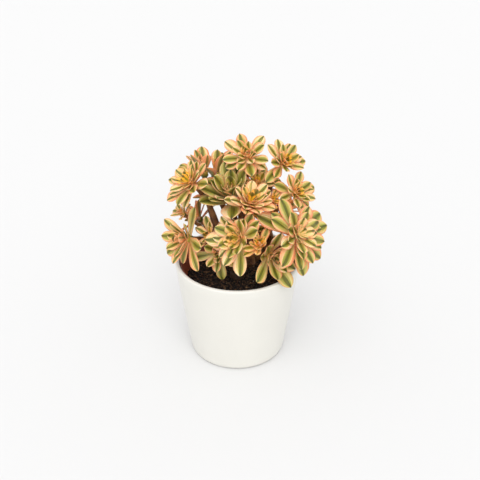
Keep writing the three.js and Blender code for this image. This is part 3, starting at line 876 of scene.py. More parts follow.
def leaf_blank():
    points = []
    blades = []
    sections = []
    for t in BLANK_STATIONS:
        width = smooth_width(t)
        depth = min(1, DEPTH_RISE * width)
        for side in range(BLANK_SIDES):
            angle = 2 * math.pi * side / BLANK_SIDES
            height = BLANK_THICKNESS * depth * math.sin(angle)
            points.append((t, width * math.cos(angle), height))
            blades.append((t, math.cos(angle), math.sin(angle)))
            sections.append((width, depth, 0))
    for at in (FOOT_END, 1):
        points.append((at, 0, 0))
        blades.append((at, 0, 0))
        sections.append((0, 0, 0))
    faces = []
    rings = len(BLANK_STATIONS)
    for ring in range(rings - 1):
        for side in range(BLANK_SIDES):
            a = ring * BLANK_SIDES + side
            b = ring * BLANK_SIDES + (side + 1) % BLANK_SIDES
            faces.append((a, b, b + BLANK_SIDES, a + BLANK_SIDES))
    foot, tip = len(points) - 2, len(points) - 1
    last = (rings - 1) * BLANK_SIDES
    for side in range(BLANK_SIDES):
        after = (side + 1) % BLANK_SIDES
        faces.append((foot, after, side))
        faces.append((last + side, last + after, tip))
    blank = object_from("leaf_blank", points, faces)
    store(blank.data, {"blade": blades, "section": sections})
    return blank


blank = leaf_blank()
print("faces of the leaf blank:", len(blank.data.polygons))

# %% [markdown]
# Leaves, stems and crumbs repeat by the dozen or the thousand, so Geometry Nodes make them. Each
# tree is built in the script, with named inputs for its sizes, and runs once on the mesh that
# carries it. It could also stay live as a modifier, but a plain mesh is what other programs read.

# %% Growing a mesh with a tree


def tree_with_inputs(name, sockets):
    """An empty Geometry Nodes tree with an input for each label, and its input node's outputs."""
    tree = bpy.data.node_groups.new(name, "GeometryNodeTree")
    tree.interface.new_socket("Geometry", in_out="OUTPUT", socket_type="NodeSocketGeometry")
    for label, kind in {"Geometry": "Geometry", **sockets}.items():
        tree.interface.new_socket(label, in_out="INPUT", socket_type="NodeSocket" + kind)
    return tree, tree.nodes.new("NodeGroupInput").outputs


def with_output(tree, geometry):
    """The tree with this geometry as its output."""
    tree.links.new(geometry, tree.nodes.new("NodeGroupOutput").inputs[0])
    return tree


def grown(piece, tree, values):
    """Run a tree on a piece as a modifier, and keep the result as a plain mesh object."""
    modifier = piece.modifiers.new(tree.name, "NODES")
    modifier.node_group = tree
    sockets = {s.name: s.identifier for s in tree.interface.items_tree if s.in_out == "INPUT"}
    for label, value in values.items():
        modifier[sockets[label]] = value
    mesh = applied(piece, modifier)
    name = piece.name
    bpy.data.objects.remove(piece)
    return in_scene(name, mesh)


# %% [markdown]
# Geometry Nodes bend the blank to every leaf. Each rosette starts as a cloud of points, one for
# each leaf, and each point carries its leaf's frame and sizes as attributes. The tree puts a blank
# on each point, makes the copies real, and moves each of their points by the same formula as the
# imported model: along the arc, out to the side, and up or down from the arc's plane by the channel
# and the keel. A slow noise ruffles the margins a little, most where the leaf is widest, because no
# leaf edge is a perfect curve. The result is one mesh for each rosette, joined with its bud.

# %% The leaf tree
RUFFLE = 2.1 * MM
RUFFLE_SCALE = 2.6
RUFFLE_SPREAD = 90.0
EDGE_ROUND = 0.35 * MM
LEAF_NUMBERS = ("rise", "curl", "length", "half", "keel", "tone")
LEAF_VECTORS = ("root", "radial", "axis", "side", "blade", "section")
KEPT_FOR_COLOUR = ("tone", "blade")


def leaf_tree():
    tree, given = tree_with_inputs("leaves on their rosette", {
        "Blank": "Object", "Bud": "Object", "Ruffle": "Float", "Edge round": "Float",
        "Channel rise": "Float", "Keel thinning": "Float", "Leaf": "Material",
    })

    shape = add(tree, "GeometryNodeObjectInfo", {"Object": given["Blank"]}, "Geometry")
    copies = add(tree, "GeometryNodeInstanceOnPoints", {"Points": given["Geometry"], "Instance": shape})
    real = add(tree, "GeometryNodeRealizeInstances", [copies])
    rise, curl, length, half, keel, tone = [
        add(tree, FIELD, {"Name": name}, data_type="FLOAT") for name in LEAF_NUMBERS
    ]
    root, radial, axis, side, blade, section = [
        add(tree, FIELD, {"Name": name}, data_type="FLOAT_VECTOR") for name in LEAF_VECTORS
    ]
    along, across, face = add(tree, SEPARATE, [blade]).node.outputs
    width, depth, _ = add(tree, SEPARATE, [section]).node.outputs

    # The arc: how far out and how far up the midrib has come at this point
    angle = add(tree, TIMES_PLUS, [curl, along, rise])
    sine = add(tree, SINE, [angle])
    cosine = add(tree, COSINE, [angle])
    first_sine = add(tree, SINE, [rise])
    first_cosine = add(tree, COSINE, [rise])
    bend = add(tree, OVER, [length, curl])
    outward = add(tree, MINUS, [sine, first_sine])
    outward = add(tree, TIMES, [bend, outward])
    upward = add(tree, MINUS, [first_cosine, cosine])
    upward = add(tree, TIMES, [bend, upward])
    middle = add(tree, VECTOR_TIMES_PLUS, [radial, outward, root])
    middle = add(tree, VECTOR_TIMES_PLUS, [axis, upward, middle])
    inward = add(tree, TIMES, [sine, -1.0])
    normal = add(tree, VECTOR_TIMES, [radial, inward])
    normal = add(tree, VECTOR_TIMES_PLUS, [axis, cosine, normal])

    # Across the leaf: the outline to the side, the channel, the two faces and the ruffle
    reach = add(tree, TIMES, [half, width])
    reach = add(tree, TIMES, [reach, across])
    channel = add(tree, SIZE_OF, [reach])
    channel = add(tree, TIMES, [channel, given["Channel rise"]])
    above = add(tree, HIGHER_OF, [face, 0.0])
    above = add(tree, TIMES, [above, given["Edge round"]])
    thinning = add(tree, TIMES, [given["Keel thinning"], along])
    thinning = add(tree, MINUS, [1.0, thinning])
    below = add(tree, LOWER_OF, [face, 0.0])
    below = add(tree, TIMES, [below, keel])
    faces = add(tree, TIMES_PLUS, [below, thinning, above])
    faces = add(tree, TIMES_PLUS, [faces, depth, channel])
    spot = add(tree, TIMES, [tone, RUFFLE_SPREAD])
    spot = add(tree, COMBINE, [along, across, spot])
    ruffle = add(tree, NOISE, {"Vector": spot, "Scale": RUFFLE_SCALE, "Detail": 1.0})
    ruffle = add(tree, MINUS, [ruffle, 0.5])
    margin = add(tree, SIZE_OF, [across])
    margin = add(tree, TIMES, [margin, width])
    ruffle = add(tree, TIMES, [ruffle, margin])
    lift = add(tree, TIMES_PLUS, [ruffle, given["Ruffle"], faces])
    point = add(tree, VECTOR_TIMES_PLUS, [side, reach, middle])
    point = add(tree, VECTOR_TIMES_PLUS, [normal, lift, point])

    bent = add(tree, "GeometryNodeSetPosition", {"Geometry": real, "Position": point})
    for name in LEAF_NUMBERS + LEAF_VECTORS:
        if name not in KEPT_FOR_COLOUR:
            bent = add(tree, "GeometryNodeRemoveAttribute", {"Geometry": bent, "Name": name})
    bud = add(tree, "GeometryNodeObjectInfo", {"Object": given["Bud"]}, "Geometry")
    both = add(tree, "GeometryNodeJoinGeometry")
    tree.links.new(bud, both.node.inputs[0])
    tree.links.new(bent, both.node.inputs[0])
    smooth = add(tree, "GeometryNodeSetShadeSmooth", [both])
    skin = add(tree, "GeometryNodeSetMaterial", {"Geometry": smooth, "Material": given["Leaf"]})
    return with_output(tree, skin)


rosette_tree = leaf_tree()
print("nodes in the leaf tree:", len(rosette_tree.nodes))

# %% [markdown]
# The stripes follow the leaf itself: how far along it a point is, how far across, and on which
# face. Each leaf also has its own age, tone and chance, and its shares of green, pink and gold.
# Stretched noise gives the streaks that run along a leaf's veins. The stripes could be painted on a
# texture, but this way they are sharp at any distance and each leaf is different.

# %% What a leaf's surface knows
STRIPE_SKEW = 0.36
STREAK_SPREAD = 57.0
COARSE_STREAKS = (1.3, 6.0, 1.0)
FINE_STREAKS = (1.4, 13.0, 1.0)


def between(value, low, high, start=0.0, end=1.0):
    """The inputs of a range node: as value runs from low to high, the result runs from start to end."""
    return {"Value": value, "From Min": low, "From Max": high, "To Min": start, "To Max": end}


def leaf_fields(tree):
    """What the shader knows of the leaf at each point, by name."""
    names = ("age", "tone", "green", "pink", "gold", "chance")
    known = {
        name: add(tree, "ShaderNodeAttribute", output="Fac", attribute_name=name) for name in names
    }
    blade = add(tree, "ShaderNodeAttribute", output="Vector", attribute_name="blade")
    known["along"], across, known["face"] = add(tree, SEPARATE, [blade]).node.outputs
    known["edge"] = add(tree, SIZE_OF, [across])

    # The stripe seldom lies quite in the middle
    skew = add(tree, TIMES_PLUS, [known["chance"], STRIPE_SKEW, -STRIPE_SKEW / 2])
    skew = add(tree, PLUS, [skew, across])
    known["side"] = add(tree, SIZE_OF, [skew])

    # Streaks run along the leaf: coarse ones move the stripe's edge, fine ones are its veins
    seed = add(tree, TIMES, [known["tone"], STREAK_SPREAD])
    spot = add(tree, COMBINE, [known["along"], across, seed])
    long_spot = add(tree, "ShaderNodeMapping", {"Vector": spot, "Scale": COARSE_STREAKS})
    known["streak"] = add(tree, NOISE, {
        "Vector": long_spot, "Scale": 1.2, "Detail": 3.0, "Roughness": 0.6,
    })
    fine_spot = add(tree, "ShaderNodeMapping", {"Vector": spot, "Scale": FINE_STREAKS})
    known["vein"] = add(tree, NOISE, {"Vector": fine_spot, "Scale": 1.0, "Detail": 2.0})
    return known


# %% [markdown]
# A variegated leaf is green only where its middle still holds chlorophyll. The green stripe runs
# from foot to tip with a streaky edge and deepens towards the midrib, cream tissue lies on both
# sides of it, strong light turns the margins pink, and the tip ends in a dark point. Young leaves
# are golden. Each of these is a layer, laid over the one before, as a painter would work.

# %% Upper face
STRIPE_WIDTH = 1.08
VEIN_STREAKS = 0.4
TIP_DEEPENING = 0.6
DEEPENING_FROM = 0.55
MOTTLE = 1.4
MARGIN_WANDER = 0.9
TIP_ROUNDING = 0.28

# Two limits for a value, and for some of them also what it becomes at the one and at the other
WANDER = (0.3, 0.7, -0.45, 0.05)
PINK_TONES = (0.4, 1.0)
STRIPE_EDGE = (-0.06, 0.1)
FOOT_FADE = (0.05, 0.5, 0.35, 1.0)
MIDRIB_DEPTH = (0.0, 0.66, 1.0, 0.0)
BORDER_DEPTH = (0.0, 0.3)
BLUSH_EDGE = (1.0, 1.4)
RIB_EDGE = (0.02, 0.1, 0.6, 0.0)
YOUNG_TIPS = (0.65, 1.0, 0.0, 0.4)
TIP_EDGE = (0.8, 0.93, 0.0, 0.8)

# Colours, some of them as stops along a ramp
CREAM = [(0.3, 0xF6C886), (0.7, 0xFAE4BE)]
PEACH = 0xF4B07C
GOLD = 0xFFC03C
GREENS = [(0.0, 0xDCCE84), (0.95, 0x5C5E1A), (0.35, 0xBCB25C), (0.7, 0x908E34)]
GOLDEN_GREEN = 0xA89428
BLUSH = 0xEE9466
RIB_GREEN = 0x565C20
TIP_BROWN = 0x504C20


def upper_face(tree, leaf):
    """Green stripe, pale tissue, pink margin and dark point, each laid over the one before."""
    pale = add(tree, RAMP, [leaf["vein"]], stops=CREAM)
    peach = add(tree, RANGE, between(leaf["tone"], *PINK_TONES))
    peach = add(tree, TIMES, [peach, leaf["pink"]])
    for layer, colour in ((peach, PEACH), (leaf["gold"], GOLD)):
        pale = add(tree, MIX, {"Factor": layer, "A": pale, "B": linear(colour)})
    wander = add(tree, RANGE, between(leaf["streak"], *WANDER), clamp=False)
    wander = add(tree, TIMES_PLUS, [leaf["vein"], VEIN_STREAKS, wander])
    border = add(tree, TIMES_PLUS, [leaf["green"], STRIPE_WIDTH, wander])
    inside = add(tree, MINUS, [border, leaf["side"]])
    stripe = add(tree, RANGE, between(inside, *STRIPE_EDGE), interpolation_type="SMOOTHSTEP")
    from_foot = add(tree, RANGE, between(leaf["along"], *FOOT_FADE))
    stripe = add(tree, TIMES, [stripe, from_foot])
    depth = add(tree, RANGE, between(leaf["side"], *MIDRIB_DEPTH))
    to_tip = add(tree, TIMES_PLUS, [leaf["along"], TIP_DEEPENING, depth])
    depth = add(tree, MINUS, [to_tip, TIP_DEEPENING * DEEPENING_FROM])
    near_border = add(tree, RANGE, between(inside, *BORDER_DEPTH))
    depth = add(tree, LOWER_OF, [depth, near_border])
    mottle = add(tree, TIMES_PLUS, [leaf["vein"], -MOTTLE, MOTTLE / 2])
    depth = add(tree, PLUS, [depth, mottle])
    greens = add(tree, RAMP, [depth], stops=GREENS)
    greens = add(tree, MIX, {"Factor": leaf["gold"], "A": greens, "B": linear(GOLDEN_GREEN)})
    body = add(tree, MIX, {"Factor": stripe, "A": pale, "B": greens})

    margin = add(tree, TIMES_PLUS, [leaf["streak"], MARGIN_WANDER, leaf["edge"]])
    blush = add(tree, RANGE, between(margin, *BLUSH_EDGE), interpolation_type="SMOOTHSTEP")
    blush = add(tree, TIMES, [blush, leaf["pink"]])
    rib = add(tree, RANGE, between(leaf["edge"], *RIB_EDGE))
    rib = add(tree, TIMES, [rib, from_foot])
    young = add(tree, RANGE, between(leaf["age"], *YOUNG_TIPS))
    young = add(tree, TIMES_PLUS, [young, leaf["chance"], leaf["along"]])
    streak = add(tree, TIMES_PLUS, [leaf["edge"], -TIP_ROUNDING, young])
    tip = add(tree, RANGE, between(streak, *TIP_EDGE), interpolation_type="SMOOTHSTEP")
    for layer, colour in ((blush, BLUSH), (rib, RIB_GREEN), (tip, TIP_BROWN)):
        body = add(tree, MIX, {"Factor": layer, "A": body, "B": linear(colour)})
    return body


# %% [markdown]
# Seen from below, a leaf is salmon with a streaky green keel. Its cuticle is waxy, so it has a soft
# sheen and no hard highlight. One material holds both faces and mixes them by the side that a point
# is on, because two materials on one closed leaf would meet in a jagged line.

# %% Underside and skin
KEEL_WIDTH = 0.95
KEEL_WANDER = (0.3, 0.7, -0.4, 0.1)
KEEL_EDGE = (-0.1, 0.12, 0.0, 0.9)
UNDERSIDE = (-0.05, -0.35)
SALMON = [(0.3, 0xE89460), (0.7, 0xFAC292)]
KEEL_GREENS = [(0.0, 0x666C28), (0.5, 0x9C9C50)]


def lower_face(tree, leaf):
    """Salmon, with a green keel whose edge is streaky too."""
    salmon = add(tree, RAMP, [leaf["vein"]], stops=SALMON)
    wander = add(tree, RANGE, between(leaf["streak"], *KEEL_WANDER), clamp=False)
    border = add(tree, TIMES_PLUS, [leaf["green"], KEEL_WIDTH, wander])
    inside = add(tree, MINUS, [border, leaf["side"]])
    keel = add(tree, RANGE, between(inside, *KEEL_EDGE), interpolation_type="SMOOTHSTEP")
    greens = add(tree, RAMP, [leaf["side"]], stops=KEEL_GREENS)
    return add(tree, MIX, {"Factor": keel, "A": salmon, "B": greens})


# A waxy, translucent leaf: roughness 0.42 for the bloom on its cuticle, an index of 1.42 for wax,
# and light that goes 1.5 mm into its flesh, so that no leaf is black where it is shaded.
def striped_leaf():
    material, tree = new_material(
        "waxy variegated leaf", 0.42, IOR=1.42, Subsurface_Weight=0.3, Subsurface_Scale=1.5 * MM,
    )
    leaf = leaf_fields(tree)
    turned_over = add(tree, RANGE, between(leaf["face"], *UNDERSIDE))
    skin = add(tree, MIX, {"Factor": turned_over, "A": upper_face(tree, leaf), "B": lower_face(tree, leaf)})
    return coated(material, skin, leaf["vein"], 0.35, 0.25 * MM)


leaf_skin = striped_leaf()
print("nodes in the leaf's material:", len(leaf_skin.node_tree.nodes))

# %% [markdown]
# The stems of an aeonium are woody below and fleshy above, brown with pale scars where old leaves
# fell. Their colour and their scars come from the place on the stem, on object coordinates.

# %% Stem finish
SCAR_MM = 3.2
# The heights between which the bark turns darker towards the soil, and how dark it is at each
DARKER_NEAR_SOIL = (90 * MM, 118 * MM, 0.85, 0.0)


# Living bark: dry and matt, brown in patches, with scars 3.2 mm apart, and darker near the soil.
def woody_stem():
    material, tree = new_material("woody stem", 0.7, IOR=1.45)
    place = add(tree, "ShaderNodeTexCoord", output="Object")
    patch = add(tree, NOISE, {"Vector": place, "Scale": 180.0, "Detail": 4.0})
    shades = add(tree, RAMP, {"Fac": patch}, stops=[(0.3, 0x4F2E18), (0.75, 0xA0703E)])
    scars = add(tree, "ShaderNodeTexVoronoi", {"Vector": place, "Scale": 1 / (SCAR_MM * MM)})
    height = add(tree, SEPARATE, [place], "Z")
    # The bark is darker towards the soil: most at 90 mm, not at all from 118 mm up
    near_soil = add(tree, RANGE, between(height, *DARKER_NEAR_SOIL))
    bark = add(tree, MIX, {"Factor": near_soil, "A": shades, "B": linear(0x23150D)})
    return coated(material, bark, scars, 0.6, 0.5 * MM)


stem_bark = woody_stem()
print("nodes in the bark's material:", len(stem_bark.node_tree.nodes))

# %% [markdown]
# No two rosettes of a variegated plant have the same mix of colours. Each row gives how green, how
# pink and how golden a rosette is, and how golden its heart is. A rosette that isn't named has the
# usual mix. A leaf's own chance and tone then vary the mix, so that green leaves and almost pale
# ones stand side by side. Young leaves are broader for their length, as they are in a real bud.

# %% The rosettes' colours
YOUNG_FROM = 0.4
YOUNG_BREADTH = 0.45
YOUNG_GREEN_LOSS = 0.5
YOUNG_PINK_LOSS = 0.7
CHANCE_STEP = 7.31
GREEN_LEAST, GREEN_SPREAD = 0.55, 0.85
PINK_LEAST, PINK_SPREAD = 0.6, 0.8
GOLD_RISE, GOLD_DELAY = 1.4, 0.4
USUAL_MIX = (0.62, 0.6, 0.1, 1.1)
MIXES = {
    "rosette_04": (0.78, 0.85, 0.0, 0.3),
    "rosette_05": (0.95, 0.6, 0.0, 0.4),
    "rosette_06": (0.35, 0.75, 0.5, 1.0),
    "rosette_07": (0.68, 0.55, 0.05, 0.7),
    "rosette_08": (0.35, 0.55, 0.12, 1.0),
    "rosette_09": (0.25, 0.7, 0.6, 1.0),
    "rosette_11": (1.05, 0.3, 0.0, 0.5),
    "rosette_12": (0.6, 0.95, 0.1, 0.8),
    "rosette_13": (0.6, 0.95, 0.1, 0.8),
    "rosette_14": (0.66, 0.6, 0.15, 0.4),
    "rosette_16": (0.85, 0.5, 0.05, 0.6),
    "rosette_17": (0.3, 0.7, 0.55, 1.0),
}


def leaf_points(name, own):
    """A cloud of points, one for each leaf, that carries each leaf's frame, sizes and mix."""
    mesh = bpy.data.meshes.new(name)
    mesh.from_pydata([tuple(leaf["root"] * MM) for leaf in own], [], [])
    kept = ("radial", "axis", "side", "rise", "curl", "age", "tone")
    store(mesh, {key: [leaf[key] for leaf in own] for key in kept})
    store(mesh, {key: [leaf[key] * MM for leaf in own] for key in ("root", "length", "keel")})
    green, pink, gold, heart_gold = MIXES.get(name, USUAL_MIX)
    youth = [max(0, leaf["age"] - YOUNG_FROM) / (1 - YOUNG_FROM) for leaf in own]
    chances = [(leaf["tone"] * CHANCE_STEP + leaf["age"]) % 1 for leaf in own]
    greens = [green * (GREEN_LEAST + GREEN_SPREAD * chance) for chance in chances]
    pinks = [pink * (PINK_LEAST + PINK_SPREAD * leaf["tone"]) for leaf in own]
    golds = [gold + heart_gold * max(0, GOLD_RISE * y - GOLD_DELAY) for y in youth]
    store(mesh, {
        "half": [leaf["half"] * (1 + YOUNG_BREADTH * y) * MM for leaf, y in zip(own, youth)],
        "chance": chances,
        "green": [g * (1 - YOUNG_GREEN_LOSS * y) for g, y in zip(greens, youth)],
        "pink": [p * (1 - YOUNG_PINK_LOSS * y) for p, y in zip(pinks, youth)],
        "gold": [min(1, g) for g in golds],
    })
    return in_scene(name + "_leaves", mesh)


print("rosettes with a mix of their own:", len(MIXES))

# %% [markdown]
# In the heart of a rosette sits a bud of leaves that haven't opened. It is a small turned core,
# golden above, and below it the green end of the stem. It could have a finish of its own, but it
# carries the same attributes as the leaves, so that one material serves the whole rosette.

# %% Buds and whole rosettes
BUD_SIDES = 14
BUD_BLADE = 0.5
BUD_GOLD = 0.8
BUD_GREEN_LOSS = 0.7
BUD_USUAL = {"pink": 0.3, "tone": 0.5, "chance": 0.5}


def bud_of(heart, lean, reach):
    """The rosette's core: a golden bud above, and below it the green end of the stem."""
    size = reach / FULL_REACH * MM
    bud = turned("bud", CORE_PROFILE, BUD_SIDES, size)
    above = [float(point.co.z > 0) for point in bud.data.vertices]
    upright = Vector((0, 0, 1)).rotation_difference(Vector(axis_of(lean))).to_matrix().to_4x4()
    bud.data.transform(Matrix.Translation(Vector(heart) * MM) @ upright)
    store(bud.data, {
        "blade": [(BUD_BLADE, BUD_BLADE * a, 0) for a in above],
        "gold": [BUD_GOLD * a for a in above],
        "green": [1 - BUD_GREEN_LOSS * a for a in above],
        "age": above,
    })
    store(bud.data, {key: [value] * len(above) for key, value in BUD_USUAL.items()})
    return bud


def dress_rosette(owner):
    name, heart, lean, reach, *_ = ROSETTES[owner]
    own = [leaf for leaf in leaves if leaf["owner"] == owner]
    bud = bud_of(heart, lean, reach)
    piece = grown(leaf_points(name, own), rosette_tree, {
        "Blank": blank, "Bud": bud, "Ruffle": RUFFLE, "Edge round": EDGE_ROUND,
        "Channel rise": CHANNEL_RISE, "Keel thinning": KEEL_THINNING,
        "Leaf": leaf_skin,
    })
    bpy.data.objects.remove(bud)
    finish_piece(piece, name)


for owner in range(len(ROSETTES)):
    dress_rosette(owner)
bpy.data.objects.remove(blank)

# %% [markdown]
# The stems are drawn as lines through the courses above, and a tree sweeps a ring along each line
# with the stem's own radius, closes its ends and adds the lumps of old wood. A skin modifier could
# do the same from edges, but it rounds the radii off and can't be told them exactly.

# %% Stems
COURSE_STEPS = 14
CROWN_RADIUS = 8.5
CROWN_BOTTOM = 70
CROWN_PROFILE = [
    (0, CROWN_BOTTOM), (7, CROWN_BOTTOM), (CROWN_RADIUS, 73), (CROWN_RADIUS, 82), (7.8, 89),
    (5.5, 92), (0, CROWN_TOP),
]
CROWN_SIDES = 32
STEM_SIDES = 10
BARK_LUMP = 1.4 * MM


def stem_lines():
    points = []
    edges = []
    radii = []
    for controls, low, high, _ in courses:
        for step in range(COURSE_STEPS + 1):
            t = step / COURSE_STEPS
            if step:
                edges.append((len(points) - 1, len(points)))
            points.append(tuple(bezier(controls, t) * MM))
            radii.append((low + (high - low) * t) * MM)
    mesh = bpy.data.meshes.new("stems")
    mesh.from_pydata(points, edges, [])
    store(mesh, {"thick": radii})
    return in_scene("woody_branches", mesh)


def stem_tree():
    tree, given = tree_with_inputs("stems along their courses", {
        "Crown": "Object", "Sides": "Int", "Lump": "Float", "Bark": "Material",
    })
    lines = add(tree, "GeometryNodeMeshToCurve", {"Mesh": given["Geometry"]})
    thick = add(tree, FIELD, {"Name": "thick"}, data_type="FLOAT")
    ring = add(tree, "GeometryNodeCurvePrimitiveCircle", {"Resolution": given["Sides"], "Radius": 1.0})
    swept = add(tree, "GeometryNodeCurveToMesh", {
        "Curve": lines, "Profile Curve": ring, "Scale": thick, "Fill Caps": True,
    })
    crown = add(tree, "GeometryNodeObjectInfo", {"Object": given["Crown"]}, "Geometry")
    both = add(tree, "GeometryNodeJoinGeometry")
    tree.links.new(crown, both.node.inputs[0])
    tree.links.new(swept, both.node.inputs[0])
    noise = add(tree, NOISE, {"Scale": 260.0, "Detail": 2.0}, "Color")
    centred = add(tree, VECTOR_PLUS, [noise, (-0.5, -0.5, -0.5)])
    shift = add(tree, VECTOR_SCALE, {0: centred, "Scale": given["Lump"]})
    lumpy = add(tree, "GeometryNodeSetPosition", {"Geometry": both, "Offset": shift})
    real = add(tree, "GeometryNodeRealizeInstances", [lumpy])
    smooth = add(tree, "GeometryNodeSetShadeSmooth", [real])
    bark = add(tree, "GeometryNodeSetMaterial", {"Geometry": smooth, "Material": given["Bark"]})
    return with_output(tree, bark)


crown = turned("crown", CROWN_PROFILE, CROWN_SIDES, MM)
stems = grown(stem_lines(), stem_tree(), {
    "Crown": crown, "Sides": STEM_SIDES, "Lump": BARK_LUMP, "Bark": stem_bark,
})
bpy.data.objects.remove(crown)
finish_piece(stems, "woody_stems")

# %% [markdown]
# The soil fills the nursery pot up to about 20 mm below its rim and is a little higher round the
# plant's crown, which stands in a hole of it. Its bed is turned like the pots, with many rings on
# top, because the lumps of its surface need points to move. A flat disc would do from afar, but
# close to it looks like still water.

# %% Soil bed
SOIL_MOUND = 2.5
SOIL_WALL_GAP = 0.6
SOIL_EDGE_DROP = 1
SOIL_SIDES = 96
SOIL_RINGS = 34


def soil_bed():
    top = nursery_inside(SOIL_TOP * MM) / MM - SOIL_WALL_GAP
    bottom = NURSERY_FLOOR / MM + SEAT_GAP
    low = nursery_inside(bottom * MM) / MM - SOIL_WALL_GAP
    hole = CROWN_RADIUS + SEAT_GAP
    radii = [hole + (top - hole) * k / SOIL_RINGS for k in range(SOIL_RINGS + 1)]
    profile = [(0, CROWN_BOTTOM - SEAT_GAP), (hole, CROWN_BOTTOM - SEAT_GAP)]
    profile += [(r, SOIL_TOP - SOIL_EDGE_DROP + SOIL_MOUND * (1 - r / top)) for r in radii]
    profile += [(low, bottom), (0, bottom)]
    return turned("potting_soil", profile, SOIL_SIDES, MM)


bed = soil_bed()
print("faces of the soil's bed:", len(bed.data.polygons))

# %% [markdown]
# Potting soil is moist peat: near-black crumbs, lighter brown fibres, and a few pale specks of
# perlite. A bump alone looks like tar, because real crumbs stand up and shade each other. So a tree
# gives the bed its lumps and scatters small grains over it, with a fixed seed, in three kinds, each
# its own colour.

# %% Crumbs
SOIL_LUMP = 2.2 * MM
SOIL_TOP_BAND = 2
CRUMB = 2.3 * MM
CRUMBS_PER_SQUARE_METRE = 240000.0
FULL_TURN = 6.28
FIBRE_TILT = 0.35
LEAST_GRAIN, LARGEST_GRAIN = 0.35, 1.0
UPWARD = 0.5


# Moist peat: no shine, a brown so dark that it is nearly black, and paler where a crumb is dry.
# The same graph serves crumbs, fibres and perlite, each with its own two colours.
def peat(name, dark, light, roughness):
    material, tree = new_material(name, roughness)
    place = add(tree, "ShaderNodeTexCoord", output="Object")
    patch = add(tree, NOISE, {"Vector": place, "Scale": 260.0, "Detail": 4.0})
    shades = add(tree, RAMP, [patch], stops=[(0.5, dark), (0.74, light)])
    return coated(material, shades, patch, 0.8, 0.6 * MM)


def soil_tree():
    tree, given = tree_with_inputs("crumbs on the soil", {
        "Lump": "Float", "Crumbs per square metre": "Float", "Crumb": "Float", "Bed": "Material",
        "Peat": "Material", "Fibre": "Material", "Perlite": "Material",
    })
    height_here = add(tree, SEPARATE, [add(tree, "GeometryNodeInputPosition")], "Z")
    facing = add(tree, SEPARATE, [add(tree, "GeometryNodeInputNormal")], "Z")
    is_high = add(tree, ABOVE, [height_here, (SOIL_TOP - SOIL_TOP_BAND) * MM])
    is_up = add(tree, ABOVE, [facing, UPWARD])
    on_top = add(tree, TIMES, [is_high, is_up])
    noise = add(tree, NOISE, {"Scale": 140.0, "Detail": 3.0})
    swing = add(tree, MINUS, [noise, 0.5])
    height = add(tree, TIMES, [swing, given["Lump"]])
    offset = add(tree, COMBINE, {"Z": height})
    bed = add(tree, "GeometryNodeSetPosition", {
        "Geometry": given["Geometry"], "Selection": is_high, "Offset": offset,
    })
    bed_done = add(tree, "GeometryNodeSetMaterial", {"Geometry": bed, "Material": given["Bed"]})
    both = add(tree, "GeometryNodeJoinGeometry")
    tree.links.new(bed_done, both.node.inputs[0])

    # Three kinds of grain: material, share of the density, size, stretch, seed, least and largest
    # turn. The fibres lie almost flat, the other grains any way up
    any_way = ((0.0, 0.0, 0.0), (FULL_TURN, FULL_TURN, FULL_TURN))
    flat = ((-FIBRE_TILT, -FIBRE_TILT, 0.0), (FIBRE_TILT, FIBRE_TILT, FULL_TURN))
    kinds = [
        ("Peat", 1.0, 1.0, (1.0, 0.8, 0.7), 3, any_way),
        ("Fibre", 0.16, 0.8, (3.4, 0.5, 0.4), 11, flat),
        ("Perlite", 0.006, 0.6, (1.0, 1.0, 0.8), 23, any_way),
    ]
    for label, share, size, stretch, seed, (least, largest) in kinds:
        density = add(tree, TIMES, [given["Crumbs per square metre"], share])
        points = add(tree, "GeometryNodeDistributePointsOnFaces", {
            "Mesh": bed, "Selection": on_top, "Density": density, "Seed": seed,
        })
        grain = add(tree, "GeometryNodeMeshIcoSphere", {"Radius": 1.0, "Subdivisions": 1})
        spin = add(tree, "FunctionNodeRandomValue", {
            "Min": least, "Max": largest, "Seed": seed + 1,
        }, data_type="FLOAT_VECTOR")
        wide = add(tree, "FunctionNodeRandomValue", {2: LEAST_GRAIN, 3: LARGEST_GRAIN, "Seed": seed + 2})
        width = add(tree, TIMES, [wide, given["Crumb"]])
        scale = add(tree, VECTOR_SCALE, {0: [size * s for s in stretch], "Scale": width})
        copies = add(tree, "GeometryNodeInstanceOnPoints", {
            "Points": points, "Instance": grain, "Rotation": spin, "Scale": scale,
        })
        done = add(tree, "GeometryNodeSetMaterial", {"Geometry": copies, "Material": given[label]})
        tree.links.new(done, both.node.inputs[0])
    real = add(tree, "GeometryNodeRealizeInstances", [both])
    return with_output(tree, real)


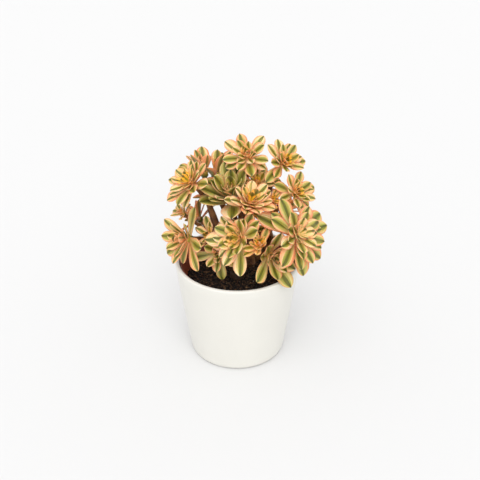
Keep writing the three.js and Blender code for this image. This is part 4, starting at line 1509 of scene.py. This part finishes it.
soil = grown(bed, soil_tree(), {
    "Lump": SOIL_LUMP, "Crumbs per square metre": CRUMBS_PER_SQUARE_METRE, "Crumb": CRUMB,
    "Bed": peat("moist peat bed", 0x120C08, 0x241810, 0.95),
    "Peat": peat("moist peat", 0x150B06, 0x745439, 0.95),
    "Fibre": peat("coir fibre", 0x4A3420, 0x9A7A54, 0.9),
    "Perlite": peat("perlite", 0x9A9084, 0xCFC8BC, 0.8),
})
finish_piece(soil, "soil")

# %% [markdown]
# The studio: a pale floor that fills the camera's view, an even white sky, and two broad lamps.
# The key lamp stands high and a little to the left, the fill lamp lower and a little to the right.
# Both are near the camera's side, so what little shadow they cast falls behind the pot. A hard sun
# would draw every leaf's shadow on the pot, which soft studio light doesn't. The floor is a light
# grey, because a white one in front of a white pot would glow brighter than the rest.

# %% Floor and light
FLOOR_REACH = 6
SKY_STRENGTH = 1.0
KEY_PLACE = (-0.2, -0.85, 1.5)
LAMP_SPREAD = 50
KEY_POWER = 0.72
FILL_PLACE = (0.12, -1.25, 1.0)
FILL_POWER = 0.9


# A painted floor without any shine, so that the pot has no mirror image in it.
def pale_floor():
    points = [(x * FLOOR_REACH, y * FLOOR_REACH, 0) for x, y in ((-1, -1), (1, -1), (1, 1), (-1, 1))]
    floor = object_from("pale_floor", points, [(0, 1, 2, 3)])
    material, _ = new_material("pale matt floor", 0.9, Base_Color=linear(0xDADADA))
    floor.data.materials.append(material)


def soft_sun(name, place, spread, power):
    """A lamp so far off that it lights the whole floor alike, as wide as a large soft box."""
    data = bpy.data.lights.new(name, "SUN")
    data.angle = math.radians(spread)
    data.energy = power
    in_scene(name, data).rotation_euler = (-Vector(place)).to_track_quat("-Z", "Y").to_euler()


def white_sky(strength):
    world = bpy.data.worlds.new("white sky")
    world.use_nodes = True
    world.node_tree.nodes["Background"].inputs["Color"].default_value = (1, 1, 1, 1)
    world.node_tree.nodes["Background"].inputs["Strength"].default_value = strength
    bpy.context.scene.world = world


pale_floor()
white_sky(SKY_STRENGTH)
soft_sun("key lamp", KEY_PLACE, LAMP_SPREAD, KEY_POWER)
soft_sun("fill lamp", FILL_PLACE, LAMP_SPREAD, FILL_POWER)
bpy.context.scene.view_settings.view_transform = "Standard"
print("lamps:", len(bpy.data.lights))
